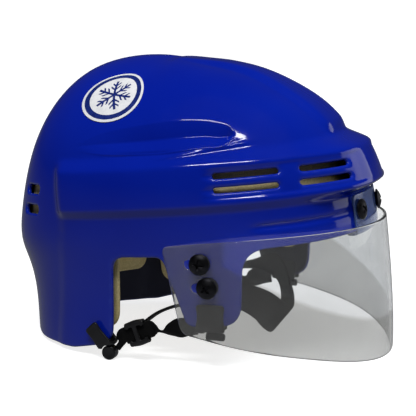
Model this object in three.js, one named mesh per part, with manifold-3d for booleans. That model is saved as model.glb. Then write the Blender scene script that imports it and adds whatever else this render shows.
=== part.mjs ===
import * as THREE from 'three';
import { mergeVertices } from 'three/addons/utils/BufferGeometryUtils.js';
import Module from 'manifold-3d';

// A display-size hockey helmet: one-piece glossy shell, foam liner, clear half visor held by
// two slotted screws a side, clear forehead bracket, and a chin strap on four shell clips.
// Millimetres. +X is the front, +Y the wearer's left, +Z up, origin under the middle.

const wasm = await Module();
wasm.setup();
const rad = THREE.MathUtils.degToRad;

// ---- driving dimensions ----
const NOSE_UP = rad(5.8);        // the shell's own level line rises towards the front
const FRAME_X = 1.0;            // from the shell's own centre to the part's origin
const FRAME_Z = 65;
const CENTRE_X = -6;             // pole of the shell surface, in the shell's own level frame
const CENTRE_W = 8;
const SQUARENESS = 2.35;         // exponent of the level section, 2 is an ellipse
const WALL = 2.4;                // shell wall
const GAP = 0.3;                 // clearance between touching pieces
const BAND_LOW = [6.4, 10.5];    // underside bevel of the raised band, level heights
const BAND_HIGH = [29.2, 33.8];  // ledge on top of the raised band
const BAND_LIFT = 3.4;           // band thickness at the sides
const BROW_LIFT = 5;             // extra band thickness over the brow
const PANEL_LIFT = 1.2;          // side wall stands this far out from the back wall
const PANEL_EDGE = 131;          // degrees from the front where the side panel ends
const RIDGE_LIFT = 2.2;          // centre ridge from crown to brow
const RIDGE_HALF = 9;
const PAD_THICK = 3;             // liner foam
const PAD_AIR = 1.4;             // gap behind the foam
const EAR_TOP = -13;             // level height of the top of the ear openings
const NUT_AIR = 2.6;             // gap behind foam that covers screw nuts
const VISOR_THICK = 1.5;
const VISOR_HALF = 65.4;         // outer half width
const VISOR_FLAT_X = 25;         // the visor's cheeks run straight behind this
const VISOR_TOP_X = 89;          // front of the visor at its top edge
const VISOR_LOW_X = 93.9;        // front of the visor at its lower edge
const SCREW_HEAD_R = 4.9;
const SHANK_R = 1.6;
const BRACKET_UNDER_HEAD = 2;    // bracket screws' heads stand this far off the brow wall
const SPACER_R = 4.3;
const SPACER_AIR = 0.85;         // the spacers' gap to the curved wall
const NUT_R = 3.4;
const NUT_THICK = 1.2;
const NUT_AT = -WALL - 2.1;      // inner end of the nuts, from the shell's outer face
const SLOT_TRAVEL = 5.6;         // how far the visor slides on its screws
const SLOT_HALF = 2.3;
const STRAP_THICK = 1.2;
const STRAP_WIDE = 8;            // side strap where it runs through its slider
const STRAP_Y = 57;              // the side straps hang just inside the shell
const SLIDER_AT = [-14.2, -51];
const SLIDER_RUN = rad(20);      // the strap climbs forwards through its slider
const CLIP_THICK = 1.4;
const DECAL_RADIUS = 16;
const DECAL_AT = [117.5, 50.5];  // heading and rise of the round sticker, degrees

// Half profiles of the shell in its level frame, from the crown down: [distance, height].
const FRONT = [[-6, 76.2], [8.5, 72.4], [30.1, 66.4], [49.3, 56], [63.6, 44.3], [73.4, 30.2], [80, 11],
  [82, -14], [81.5, -36], [79, -63]];
const REAR = [[-6, 76.2], [-20, 78.4], [-36.1, 78.2], [-53.3, 73.8], [-70.3, 61.1], [-81.6, 44.8],
  [-89.9, 25.4], [-95.7, 5], [-96.9, -8.1], [-94.4, -17.5], [-92.3, -29], [-92.4, -43], [-93.4, -63]];
const SIDE = [[0, 76.2], [14, 74.6], [28, 69.3], [41, 60.5], [51.5, 48.5], [58.5, 34], [62, 17],
  [62.6, 0], [61.3, -20], [59.8, -38], [57.8, -62]];

// ---- materials ----
const BLUE = new THREE.MeshStandardMaterial({ color: 0x0b2aa0, roughness: 0.15, metalness: 0 });
const FOAM = new THREE.MeshStandardMaterial({ color: 0xa3905c, roughness: 0.95, metalness: 0 });
const CLEAR = new THREE.MeshStandardMaterial({
  color: 0xdfe4ea, roughness: 0.05, metalness: 0, transparent: true, opacity: 0.3,
});
const BLACK_METAL = new THREE.MeshStandardMaterial({ color: 0x151515, roughness: 0.35, metalness: 0.8 });
const BLACK_PLASTIC = new THREE.MeshStandardMaterial({ color: 0x121212, roughness: 0.5, metalness: 0 });
const RUBBER = new THREE.MeshStandardMaterial({ color: 0x1a1a1a, roughness: 0.9, metalness: 0 });
const STEEL = new THREE.MeshStandardMaterial({ color: 0xb9bcc0, roughness: 0.35, metalness: 0.9 });
const WEBBING = new THREE.MeshStandardMaterial({ color: 0x0c0c0c, roughness: 0.9, metalness: 0 });
const STICKER = new THREE.MeshStandardMaterial({ color: 0xf2f4f7, roughness: 0.3, metalness: 0 });

// ---- small maths ----
const smooth = (from, to, x) => {
  const t = THREE.MathUtils.clamp((x - from) / (to - from), 0, 1);
  return t * t * (3 - 2 * t);
};
const mix = (a, b, t) => a + (b - a) * t;

// Natural cubic through rising xs.
function cubic(xs, ys) {
  const n = xs.length;
  const second = new Array(n).fill(0);
  const ratio = new Array(n).fill(0);
  for (let i = 1; i < n - 1; i += 1) {
    const share = (xs[i] - xs[i - 1]) / (xs[i + 1] - xs[i - 1]);
    const p = share * second[i - 1] + 2;
    const bend = (ys[i + 1] - ys[i]) / (xs[i + 1] - xs[i]) - (ys[i] - ys[i - 1]) / (xs[i] - xs[i - 1]);
    second[i] = (share - 1) / p;
    ratio[i] = ((6 * bend) / (xs[i + 1] - xs[i - 1]) - share * ratio[i - 1]) / p;
  }
  for (let i = n - 2; i >= 0; i -= 1) second[i] = second[i] * second[i + 1] + ratio[i];
  return (x) => {
    let k = 0;
    while (k < n - 2 && x > xs[k + 1]) k += 1;
    const h = xs[k + 1] - xs[k];
    const a = (xs[k + 1] - x) / h;
    const b = 1 - a;
    return a * ys[k] + b * ys[k + 1]
      + ((a * a * a - a) * second[k] + (b * b * b - b) * second[k + 1]) * ((h * h) / 6);
  };
}

// Radius from the pole against elevation, from a half profile.
function radiusOf(profile, side, fromX) {
  const points = profile.map(([x, w]) => {
    const out = (x - fromX) * side;
    const up = w - CENTRE_W;
    return [Math.atan2(up, out), Math.hypot(out, up)];
  });
  points.sort((p, q) => p[0] - q[0]);
  return cubic(points.map((p) => p[0]), points.map((p) => p[1]));
}
const frontRadius = radiusOf(FRONT, 1, CENTRE_X);
const rearRadius = radiusOf(REAR, -1, CENTRE_X);
const sideRadius = radiusOf(SIDE, 1, 0);

// ---- shell surface, level frame ----
// heading: 0 is the front, positive to the left. rise: elevation from the pole.
function domeRadius(heading, rise) {
  const c = Math.cos(heading);
  const along = c >= 0 ? frontRadius(rise) : rearRadius(rise);
  const n = 2 + (SQUARENESS - 2) * smooth(rad(65), rad(15), rise);
  const sum = Math.abs(c / along) ** n + Math.abs(Math.sin(heading) / sideRadius(rise)) ** n;
  return sum ** (-1 / n);
}
function domePoint(heading, rise, inset = 0) {
  const r = domeRadius(heading, rise) - inset;
  return new THREE.Vector3(
    CENTRE_X + r * Math.cos(rise) * Math.cos(heading),
    r * Math.cos(rise) * Math.sin(heading),
    CENTRE_W + r * Math.sin(rise),
  );
}
function domeNormal(heading, rise) {
  const step = 1e-3;
  const low = Math.min(rise, rad(89));
  const across = domePoint(heading + step, low).sub(domePoint(heading - step, low));
  const upwards = domePoint(heading, low + step).sub(domePoint(heading, low - step));
  return across.cross(upwards).normalize();
}
// Elevation at which a meridian passes a level height.
function riseAt(heading, w) {
  let low = rad(-60);
  let high = rad(88);
  for (let i = 0; i < 40; i += 1) {
    const middle = (low + high) / 2;
    if (domePoint(heading, middle).z < w) low = middle;
    else high = middle;
  }
  return (low + high) / 2;
}
// How far the raised features stand out at a level height.
function liftAt(heading, w, shrink) {
  const degrees = Math.abs(THREE.MathUtils.radToDeg(Math.atan2(Math.sin(heading), Math.cos(heading))));
  const edge = PANEL_EDGE + 0.2 * Math.max(0, -w);
  const panel = smooth(edge, edge - 4, degrees);
  const brow = smooth(38, 14, degrees);
  const wall = panel * PANEL_LIFT * (1 - brow);
  const band = panel * (BAND_LIFT + BROW_LIFT * brow);
  if (w < 20) return mix(wall, band, smooth(BAND_LOW[0] + shrink, BAND_LOW[1] + shrink, w));
  return band * smooth(BAND_HIGH[1] - shrink, BAND_HIGH[0] - shrink, w);
}
function ridgeAt(p) {
  const along = smooth(-10, 16, p.x) * smooth(33, 41, p.z);
  return RIDGE_LIFT * along * smooth(RIDGE_HALF + 4, RIDGE_HALF - 2, Math.abs(p.y));
}
// A point of the shell, inset below its outer face, in the level frame.
function shellPoint(heading, rise, inset = 0, shrink = 0) {
  const p = domePoint(heading, rise);
  const n = domeNormal(heading, rise);
  const out = new THREE.Vector3(n.x, n.y, 0).normalize();
  const lift = liftAt(heading, p.z, shrink);
  const ridge = ridgeAt(p);
  return p.addScaledVector(out, lift).addScaledVector(n, ridge - inset);
}
// Level frame to the part's frame.
function placed(p) {
  return new THREE.Vector3(
    p.x * Math.cos(NOSE_UP) - p.z * Math.sin(NOSE_UP) + FRAME_X,
    p.y,
    p.x * Math.sin(NOSE_UP) + p.z * Math.cos(NOSE_UP) + FRAME_Z,
  );
}
// A level direction turned into the part's frame.
const tipped = (d) => new THREE.Vector3(
  d.x * Math.cos(NOSE_UP) - d.z * Math.sin(NOSE_UP),
  d.y,
  d.x * Math.sin(NOSE_UP) + d.z * Math.cos(NOSE_UP),
);
const levelUp = new THREE.Vector3(-Math.sin(NOSE_UP), 0, Math.cos(NOSE_UP));
const levelForward = new THREE.Vector3(Math.cos(NOSE_UP), 0, Math.sin(NOSE_UP));

// ---- closed meshes ----
function closedGeometry(points, faces) {
  let volume = 0;
  for (const [a, b, c] of faces) {
    volume += points[a].dot(new THREE.Vector3().crossVectors(points[b], points[c]));
  }
  const geometry = new THREE.BufferGeometry();
  const places = points.flatMap((p) => p.toArray());
  geometry.setAttribute('position', new THREE.Float32BufferAttribute(places, 3));
  geometry.setIndex(faces.flatMap(([a, b, c]) => (volume < 0 ? [a, c, b] : [a, b, c])));
  return geometry;
}
// A sheet with thickness: point(u, v, side) with u and v from 0 to 1 and side 0 or 1.
function slab(nu, nv, point) {
  const points = [];
  const faces = [];
  const at = (i, j, side) => (side * (nu + 1) + i) * (nv + 1) + j;
  for (let side = 0; side < 2; side += 1) {
    for (let i = 0; i <= nu; i += 1) {
      for (let j = 0; j <= nv; j += 1) points.push(point(i / nu, j / nv, side));
    }
  }
  const quad = (a, b, c, d) => faces.push([a, b, c], [a, c, d]);
  for (let i = 0; i < nu; i += 1) {
    for (let j = 0; j < nv; j += 1) {
      quad(at(i, j, 0), at(i + 1, j, 0), at(i + 1, j + 1, 0), at(i, j + 1, 0));
      quad(at(i, j, 1), at(i, j + 1, 1), at(i + 1, j + 1, 1), at(i + 1, j, 1));
    }
  }
  for (let i = 0; i < nu; i += 1) {
    quad(at(i, 0, 0), at(i, 0, 1), at(i + 1, 0, 1), at(i + 1, 0, 0));
    quad(at(i, nv, 0), at(i + 1, nv, 0), at(i + 1, nv, 1), at(i, nv, 1));
  }
  for (let j = 0; j < nv; j += 1) {
    quad(at(0, j, 0), at(0, j + 1, 0), at(0, j + 1, 1), at(0, j, 1));
    quad(at(nu, j, 0), at(nu, j, 1), at(nu, j + 1, 1), at(nu, j + 1, 0));
  }
  return closedGeometry(points, faces);
}
// A flat strap along stations of [position, direction across, width].
function strap(stations) {
  const count = stations.length - 1;
  return slab(count, 1, (u, v, side) => {
    const i = Math.round(u * count);
    const before = stations[Math.max(0, i - 1)][0];
    const after = stations[Math.min(count, i + 1)][0];
    const [centre, across, wide] = stations[i];
    const through = after.clone().sub(before).cross(across).normalize();
    return centre.clone()
      .addScaledVector(across.clone().normalize(), (v - 0.5) * wide)
      .addScaledVector(through, (side - 0.5) * STRAP_THICK);
  });
}
// A turned solid: profile of [radius, height] from axis to axis, axis along direction.
function turned(profile, sides, base, direction) {
  const geometry = new THREE.LatheGeometry(profile.map(([r, h]) => new THREE.Vector2(r, h)), sides);
  const turn = new THREE.Quaternion().setFromUnitVectors(new THREE.Vector3(0, 1, 0), direction);
  return geometry.applyQuaternion(turn).translate(base.x, base.y, base.z);
}
// A box of a size, turned to three directions and put at a centre.
function block(size, centre, xAxis, yAxis) {
  const zAxis = new THREE.Vector3().crossVectors(xAxis, yAxis).normalize();
  const yTrue = new THREE.Vector3().crossVectors(zAxis, xAxis).normalize();
  const turn = new THREE.Matrix4().makeBasis(xAxis.clone().normalize(), yTrue, zAxis);
  return new THREE.BoxGeometry(...size).applyMatrix4(turn).translate(centre.x, centre.y, centre.z);
}

// ---- joins and cuts ----
function toSolid(geometry) {
  const bare = geometry.clone();
  bare.deleteAttribute('normal');
  bare.deleteAttribute('uv');
  const merged = mergeVertices(bare, 1e-4);
  return new wasm.Manifold(new wasm.Mesh({
    numProp: 3,
    vertProperties: new Float32Array(merged.attributes.position.array),
    triVerts: new Uint32Array(merged.index.array),
  }));
}
function toGeometry(solid) {
  const mesh = solid.getMesh();
  const geometry = new THREE.BufferGeometry();
  geometry.setAttribute('position', new THREE.BufferAttribute(new Float32Array(mesh.vertProperties), 3));
  geometry.setIndex(new THREE.BufferAttribute(new Uint32Array(mesh.triVerts), 1));
  return geometry;
}
const cut = (geometry, ...tools) => toGeometry(
  tools.reduce((solid, tool) => solid.subtract(toSolid(tool)), toSolid(geometry)),
);
const join = (...geometries) => toGeometry(
  geometries.map(toSolid).reduce((solid, next) => solid.add(next)),
);

// ---- shell ----
const HEADINGS = [];
for (let degrees = 0; degrees < 128; degrees += 7.5) HEADINGS.push(degrees);
HEADINGS.push(127.5, 131.5, 140, 150, 160, 170, 180);
for (const degrees of HEADINGS.slice(1, -1).reverse()) HEADINGS.push(-degrees);

// A closed body of the shell's surface, with rows on the band's own edges.
function shellBody(inset, shrink, bottom) {
  const rows = [bottom, -40, -20, -6, BAND_LOW[0] + shrink, BAND_LOW[1] + shrink, 20,
    BAND_HIGH[0] - shrink, BAND_HIGH[1] - shrink, 42, 51, 60];
  const crownSteps = 4;
  const points = [];
  const faces = [];
  for (const degrees of HEADINGS) {
    const heading = rad(degrees);
    const rises = rows.map((w) => riseAt(heading, w));
    const top = rises[rises.length - 1];
    for (let k = 1; k < crownSteps; k += 1) rises.push(mix(top, rad(90), k / crownSteps));
    for (const rise of rises) points.push(placed(shellPoint(heading, rise, inset, shrink)));
  }
  const perColumn = rows.length + crownSteps - 1;
  const columns = HEADINGS.length;
  const pole = points.push(placed(domePoint(0, rad(90), inset))) - 1;
  const floor = points.push(placed(new THREE.Vector3(CENTRE_X, 0, bottom))) - 1;
  for (let i = 0; i < columns; i += 1) {
    const a = i * perColumn;
    const b = ((i + 1) % columns) * perColumn;
    for (let j = 0; j < perColumn - 1; j += 1) {
      faces.push([a + j, b + j, b + j + 1], [a + j, b + j + 1, a + j + 1]);
    }
    faces.push([a + perColumn - 1, b + perColumn - 1, pole], [b, a, floor]);
  }
  return closedGeometry(points, faces);
}

// Side outline of everything below the rim: rear lobe, ear opening, front lobe, brow.
function rimCutter() {
  const outline = new THREE.Shape();
  outline.moveTo(-120, -90);
  outline.lineTo(-120, -56);
  outline.lineTo(-94, -58.5);
  outline.quadraticCurveTo(-84, -63, -74, -63.6);
  outline.lineTo(-50, -62.8);
  outline.lineTo(-33, -58.6);
  outline.quadraticCurveTo(-26.4, -56.5, -26.2, -49);
  outline.lineTo(-24.9, -21);
  outline.quadraticCurveTo(-24.4, -14.6, -18, -14.2);
  outline.lineTo(-3, -13.1);
  outline.quadraticCurveTo(0.6, -12.9, 2, -17);
  outline.lineTo(10.8, -41.5);
  outline.quadraticCurveTo(12, -44.8, 16, -44.6);
  outline.lineTo(29, -43.7);
  outline.quadraticCurveTo(37, -42.6, 37.4, -33);
  outline.lineTo(37.9, -18);
  outline.quadraticCurveTo(38.6, -7.2, 51, -6.4);
  outline.lineTo(84, -2.8);
  outline.lineTo(120, -1.5);
  outline.lineTo(120, -90);
  outline.closePath();
  const width = 200;
  const prism = new THREE.ExtrudeGeometry(outline, { depth: width, bevelEnabled: false, curveSegments: 4 });
  return prism.rotateX(Math.PI / 2).translate(FRAME_X, width / 2, FRAME_Z);
}

// A slot through the shell along the band, between two headings and two level heights.
function slotCutter(fromDegrees, toDegrees, low, high, side) {
  return slab(5, 1, (u, v, face) => {
    const heading = rad(mix(fromDegrees, toDegrees, u)) * side;
    const w = mix(low, high, v);
    const p = shellPoint(heading, riseAt(heading, w));
    const out = domeNormal(heading, riseAt(heading, w)).setZ(0).normalize();
    return placed(p.addScaledVector(out, face === 0 ? 4 : -11));
  });
}
const SIDE_SLOTS = [
  [38.8, 60.8, 22.3, 24.3],
  [39.5, 61, 15.9, 17.9],
  [15.8, 31.5, 21.9, 23.9],
  [16, 32.2, 15.7, 17.7],
];
const REAR_SLOTS = [[142.5, 152.5, 17.2, 21.8], [142.5, 152.5, 7.6, 12.2]];

// Holes for the four visor screws and the two bracket screws.
const VISOR_SCREWS = [[20, -13.9], [23.6, -24.6]];
const BRACKET_SCREW = [15.2, 6.6];

function shellGeometry() {
  const slots = [...SIDE_SLOTS, ...REAR_SLOTS].flatMap(
    (slot) => [slotCutter(...slot, 1), slotCutter(...slot, -1)],
  );
  const bores = [...visorScrewAxes(), ...bracketScrewAxes()].map(({ base, axis }) => turned(
    [[0, -12], [SHANK_R + GAP, -12], [SHANK_R + GAP, 12], [0, 12]], 12, base, axis,
  ));
  return cut(shellBody(0, 0, -64), shellBody(WALL, 1.6, -66), rimCutter(), ...slots, ...bores);
}

// ---- where the screws go ----
// The outer face of the shell's wall at a level position on one side.
function wallPoint(x, z, side) {
  const level = new THREE.Vector3(x, 0, z);
  const w = -level.x * Math.sin(NOSE_UP) + level.z * Math.cos(NOSE_UP);
  let low = rad(1);
  let high = rad(179);
  for (let i = 0; i < 40; i += 1) {
    const middle = (low + high) / 2;
    const p = placed(shellPoint(middle, riseAt(middle, w)));
    if (p.x - FRAME_X > x) low = middle;
    else high = middle;
  }
  const p = placed(shellPoint(low, riseAt(low, w)));
  return new THREE.Vector3(p.x, p.y * side, p.z);
}
function visorScrewAxes() {
  return [1, -1].flatMap((side) => VISOR_SCREWS.map(([x, z], index) => ({
    base: wallPoint(x, z, side),
    axis: new THREE.Vector3(0, side, 0),
    name: `${side > 0 ? 'left' : 'right'}_${index === 0 ? 'upper' : 'lower'}`,
    side,
  })));
}
function browHeading(y) {
  let low = 0;
  let high = rad(60);
  for (let i = 0; i < 40; i += 1) {
    const middle = (low + high) / 2;
    if (shellPoint(middle, riseAt(middle, 0)).y < y) low = middle;
    else high = middle;
  }
  return low;
}
function bracketScrewAxes() {
  return [1, -1].map((side) => {
    const [y, z] = BRACKET_SCREW;
    const heading = browHeading(y) * side;
    const w = z - 8;
    const base = placed(shellPoint(heading, riseAt(heading, w)));
    const n = domeNormal(heading, riseAt(heading, w));
    const axis = tipped(n).normalize();
    return { base, axis, name: side > 0 ? 'left' : 'right', side };
  });
}

// ---- liner ----
// A foam pad that follows the shell's inside between two headings and two level heights.
// sweep leans its first edge back below the ear's top, in degrees for each millimetre.
function padGeometry([fromDegrees, toDegrees], [low, high], columns, rows, air, sweep = 0) {
  return slab(columns, rows, (u, v, face) => {
    const w = mix(low, high, v);
    const lean = sweep * Math.max(0, EAR_TOP - w) * (1 - u);
    const heading = rad(mix(fromDegrees, toDegrees, u) + lean);
    const rise = riseAt(heading, w);
    const depth = WALL + air + face * PAD_THICK;
    return placed(domePoint(heading, rise).addScaledVector(domeNormal(heading, rise), -depth));
  });
}
// The crown pad is a round patch over the pole.
function crownPadGeometry() {
  const radius = rad(30);
  return slab(8, 8, (u, v, face) => {
    const a = u * 2 - 1;
    const b = v * 2 - 1;
    const heading = Math.atan2(b, a);
    const rise = rad(90) - radius * Math.max(Math.abs(a), Math.abs(b));
    const depth = WALL + PAD_AIR + face * PAD_THICK;
    return placed(domePoint(heading, rise).addScaledVector(domeNormal(heading, rise), -depth));
  });
}

// ---- visor ----
// Plan of the visor's outer face: straight cheeks, then a half ellipse round the front.
function visorPoint(u, v, inset) {
  const s = Math.abs(u * 2 - 1);
  const side = u > 0.5 ? 1 : -1;
  const cheek = 0.8;
  const front = mix(VISOR_TOP_X, VISOR_LOW_X, Math.sin((v * Math.PI) / 2));
  const half = VISOR_HALF - inset;
  let x;
  let y;
  if (s < cheek) {
    const turn = (s / cheek) * (Math.PI / 2);
    x = VISOR_FLAT_X + (front - VISOR_FLAT_X - inset) * Math.cos(turn);
    y = half * Math.sin(turn);
  } else {
    const back = mix(1.3, 10.8, v);
    x = mix(VISOR_FLAT_X, back, (s - cheek) / (1 - cheek));
    y = half;
  }
  const top = -7.6 + 0.172 * x - 0.0009 * x * x;
  const drop = Math.max(0, (x - 60) / 34);
  const low = -45.2 - 0.176 * x - 3.25 * drop * drop;
  return new THREE.Vector3(x + FRAME_X, y * side, mix(top, low, v) + FRAME_Z);
}
// The screws pass through level slots that run back from them.
function visorSlotCutter({ base, side }) {
  const back = base.clone().addScaledVector(levelForward, -SLOT_TRAVEL);
  const across = new THREE.Vector3(0, side, 0);
  const ends = [base, back].map((p) => turned(
    [[0, -6], [SLOT_HALF, -6], [SLOT_HALF, 9], [0, 9]], 12, p, across,
  ));
  const middle = base.clone().add(back).multiplyScalar(0.5).addScaledVector(across, 1.5);
  return join(...ends, block([SLOT_TRAVEL, SLOT_HALF * 2 - 0.02, 15], middle, levelForward, levelUp));
}
function visorGeometry() {
  const sheet = slab(38, 5, (u, v, face) => visorPoint(u, v, face === 0 ? 0 : VISOR_THICK));
  return cut(sheet, ...visorScrewAxes().map(visorSlotCutter));
}

// ---- forehead bracket ----
// Clear plate over the brow wall whose lower edge hooks under the rim.
function bracketGeometry() {
  const halfWidth = 20;
  const profile = [[0.4, 6], [0.4, -9.9], [0.15, -11.3], [-0.6, -11.8], [-5.2, -11.8]];
  const thick = 1.3;
  const plate = slab(8, profile.length - 1, (u, v, face) => {
    const heading = browHeading(Math.abs(u * 2 - 1) * halfWidth) * (u < 0.5 ? -1 : 1);
    const k = Math.round(v * (profile.length - 1));
    const before = profile[Math.max(0, k - 1)];
    const after = profile[Math.min(profile.length - 1, k + 1)];
    const run = Math.hypot(after[0] - before[0], after[1] - before[1]);
    const offset = face === 0 ? 0 : thick;
    const reach = profile[k][0] - ((after[1] - before[1]) / run) * offset;
    const w = profile[k][1] + ((after[0] - before[0]) / run) * offset;
    const rise = riseAt(heading, Math.max(w, -11));
    const p = domePoint(heading, rise);
    const out = domeNormal(heading, rise).setZ(0).normalize();
    return placed(new THREE.Vector3(p.x, p.y, w).addScaledVector(out, reach));
  });
  const bores = bracketScrewAxes().map(({ base, axis }) => turned(
    [[0, -6], [SHANK_R + GAP, -6], [SHANK_R + GAP, 8], [0, 8]], 12, base, axis,
  ));
  return cut(plate, ...bores);
}

// ---- fasteners ----
// Truss-head screw with a cross recess; head underside at the given distance out.
function screwGeometry({ base, axis }, under, length) {
  const head = [[0, under - length], [SHANK_R, under - length], [SHANK_R, under],
    [SCREW_HEAD_R, under], [SCREW_HEAD_R, under + 0.7], [SCREW_HEAD_R * 0.82, under + 1.7],
    [SCREW_HEAD_R * 0.45, under + 2.3], [0, under + 2.5]];
  const body = turned(head, 12, base, axis);
  const recess = base.clone().addScaledVector(axis, under + 2.4);
  const up = new THREE.Vector3(0, 0, 1);
  const slotA = block([5.2, 1, 2.6], recess, new THREE.Vector3().crossVectors(up, axis).add(up), axis);
  const slotB = block([5.2, 1, 2.6], recess, new THREE.Vector3().crossVectors(up, axis).sub(up), axis);
  return cut(body, slotA, slotB);
}
// A flat ring round the shank, from one distance out to another.
function ringGeometry({ base, axis }, outer, from, to) {
  const inner = SHANK_R + 0.2;
  return turned([[inner, from], [outer, from], [outer, to], [inner, to], [inner, from]], 12, base, axis);
}

// ---- strap clips ----
// Each clip straddles the rim: [x, z] of the rim under it, lean of its legs back from upright,
// its width and how far the legs climb.
const CLIPS = {
  front: { at: [23.5, -44.2], lean: 0, width: 13.4, climb: 11, knob: [25.4, -48.6] },
  rear: { at: [-30, -57.1], lean: rad(42.7), width: 8, climb: 11, knob: [-28.2, -61.5] },
};
function clipFrame({ at, lean }, side) {
  const edge = wallPoint(at[0], at[1] + 3, side);
  const along = wallPoint(at[0] + 3, at[1] + 3, side).sub(wallPoint(at[0] - 3, at[1] + 3, side));
  const draft = wallPoint(at[0], at[1] + 9, side).sub(edge);
  const out = along.clone().cross(draft).normalize();
  if (out.y * side < 0) out.negate();
  const up = new THREE.Vector3(-Math.sin(lean), 0, Math.cos(lean));
  up.addScaledVector(out, -up.dot(out)).normalize();
  const across = new THREE.Vector3().crossVectors(up, out);
  const origin = new THREE.Vector3(at[0] + FRAME_X, edge.y, at[1] + FRAME_Z);
  return { origin, out, up, across };
}
function clipPoint({ origin, out, up, across }, sideways, outward, height) {
  return origin.clone().addScaledVector(across, sideways).addScaledVector(out, outward)
    .addScaledVector(up, height);
}
const LEG_OUT = 0.9 + CLIP_THICK / 2;
const LEG_IN = -(WALL + 1.1 + CLIP_THICK / 2);
// What the strap end holds on to: a round button on the rear clips, a bar on the front ones.
function knobSolid(clip, side, grow) {
  const { origin } = clipFrame(clip, side);
  const centre = new THREE.Vector3(clip.knob[0] + FRAME_X, origin.y - 1.1 * side, clip.knob[1] + FRAME_Z);
  if (clip.lean === 0) {
    const bar = [[0, -4.4 - grow], [1.8 + grow, -4.4 - grow], [1.8 + grow, 4.4 + grow], [0, 4.4 + grow]];
    return turned(bar, 10, centre, new THREE.Vector3(1, 0, 0));
  }
  const r = 3.5 + grow;
  const h = 2.4 + grow;
  const profile = [[0, -h], [r - 0.8, -h], [r, 0.8 - h], [r, h - 0.8], [r - 0.8, h], [0, h]];
  return turned(profile, 14, centre, new THREE.Vector3(0, side, 0));
}
function clipGeometry(clip, side) {
  const frame = clipFrame(clip, side);
  const leg = (outward, climb) => block(
    [clip.width, climb + 3, CLIP_THICK],
    clipPoint(frame, 0, outward, climb / 2 - 1.5),
    frame.across,
    frame.up,
  );
  const bridge = block(
    [clip.width, 2, LEG_OUT - LEG_IN + CLIP_THICK - 0.02],
    clipPoint(frame, 0, (LEG_OUT + LEG_IN) / 2, -2),
    frame.across,
    frame.up,
  );
  const body = join(leg(LEG_OUT, clip.climb), leg(LEG_IN, clip.climb - 3), bridge);
  return cut(body, knobSolid(clip, side, GAP));
}

// ---- straps ----
const inPart = (x, y, z) => new THREE.Vector3(x + FRAME_X, y, z + FRAME_Z);
// Side strap stations: [x, y, z, width, climb, twist]. From the rear clip's button it runs
// straight through the slider, turns on edge, and opens out again to the front clip.
const sliderRun = (along) => [
  SLIDER_AT[0] + along * Math.cos(SLIDER_RUN),
  STRAP_Y,
  SLIDER_AT[1] + along * Math.sin(SLIDER_RUN),
  STRAP_WIDE,
  SLIDER_RUN,
  0,
];
const SIDE_ROUTE = [
  [-24.6, 57, -59.6, 3, rad(60), 0],
  [-22.4, 57, -56.5, 3.6, rad(55), 0],
  sliderRun(-7.6),
  sliderRun(7.4),
  [-5, 57, -48.9, 8, 0, rad(40)],
  [-2.8, 57, -49.7, 8, 0, rad(70)],
  [0.6, 56.9, -49.3, 8, rad(20), rad(60)],
  [4, 56.7, -47.9, 9, rad(20), rad(25)],
  [7.5, 56.5, -46.6, 9.5, rad(15), 0],
  [11.5, 56.3, -45.8, 8.5, rad(8), 0],
  [15.7, 56.2, -45.3, 7.5, 0, 0],
];
function sideStrapGeometry(side) {
  return strap(SIDE_ROUTE.map(([x, y, z, wide, climb, twist]) => {
    const across = new THREE.Vector3(
      -Math.sin(climb) * Math.cos(twist),
      Math.sin(twist) * side,
      Math.cos(climb) * Math.cos(twist),
    );
    return [inPart(x, y * side, z), across, wide];
  }));
}
// The ladder-lock sleeve that rides along a side strap.
function sliderGeometry(side) {
  const centre = inPart(SLIDER_AT[0], STRAP_Y * side, SLIDER_AT[1]);
  const run = new THREE.Vector3(Math.cos(SLIDER_RUN), 0, Math.sin(SLIDER_RUN));
  const through = new THREE.Vector3(0, 1, 0);
  const body = block([10, 4.2, 12], centre, run, through);
  const passage = block([14, STRAP_THICK + 0.8, STRAP_WIDE + 0.8], centre, run, through);
  return cut(body, passage);
}
// Chin strap: one U-shaped band from slider to slider, cupped under the chin.
// Each station is [x, y, z], the direction across the band, and its width, for one half.
const CHIN_HALF = [
  [[-15, 50.1, -48.8], [0, 1, 0.1], 9],
  [[-8, 48, -43.2], [0, 1, 0.14], 9],
  [[0, 47.6, -39.4], [0, 1, 0.2], 9],
  [[8, 46.3, -37.2], [0, 1, 0.34], 9],
  [[16, 42.4, -34.9], [-0.15, 0.9, 0.7], 10],
  [[23.5, 36.5, -34.4], [-0.1, 0.35, 1], 11.5],
  [[30, 28.5, -36.8], [0, 0.1, 1], 13],
  [[35.2, 18.8, -42.5], [0.2, 0, 1], 15],
  [[38.3, 9.3, -49.6], [0.5, 0, 0.85], 16.5],
  [[39.2, 0, -53.4], [0.62, 0, 0.78], 17],
];
function chinStrapGeometry() {
  const mirrored = CHIN_HALF.slice(0, -1).map(
    ([[x, y, z], [a, b, c], wide]) => [[x, -y, z], [a, -b, c], wide],
  );
  const stations = [...mirrored, ...CHIN_HALF.slice().reverse()];
  return strap(
    stations.map(([[x, y, z], across, wide]) => [inPart(x, y, z), new THREE.Vector3(...across), wide]),
  );
}

// ---- sticker ----
function decalGeometry(side) {
  const heading = rad(DECAL_AT[0]) * side;
  const rise = rad(DECAL_AT[1]);
  const step = 0.01;
  const perHeading = domePoint(heading + step, rise).distanceTo(domePoint(heading, rise)) / step;
  const perRise = domePoint(heading, rise + step).distanceTo(domePoint(heading, rise)) / step;
  return slab(6, 6, (u, v, face) => {
    const a = u * 2 - 1;
    const b = v * 2 - 1;
    const reach = DECAL_RADIUS * Math.max(Math.abs(a), Math.abs(b));
    const turn = Math.atan2(b, a);
    const h = heading + (reach * Math.cos(turn)) / perHeading;
    const r = rise + (reach * Math.sin(turn)) / perRise;
    return placed(shellPoint(h, r, -0.3 - 0.3 * face));
  });
}

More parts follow.
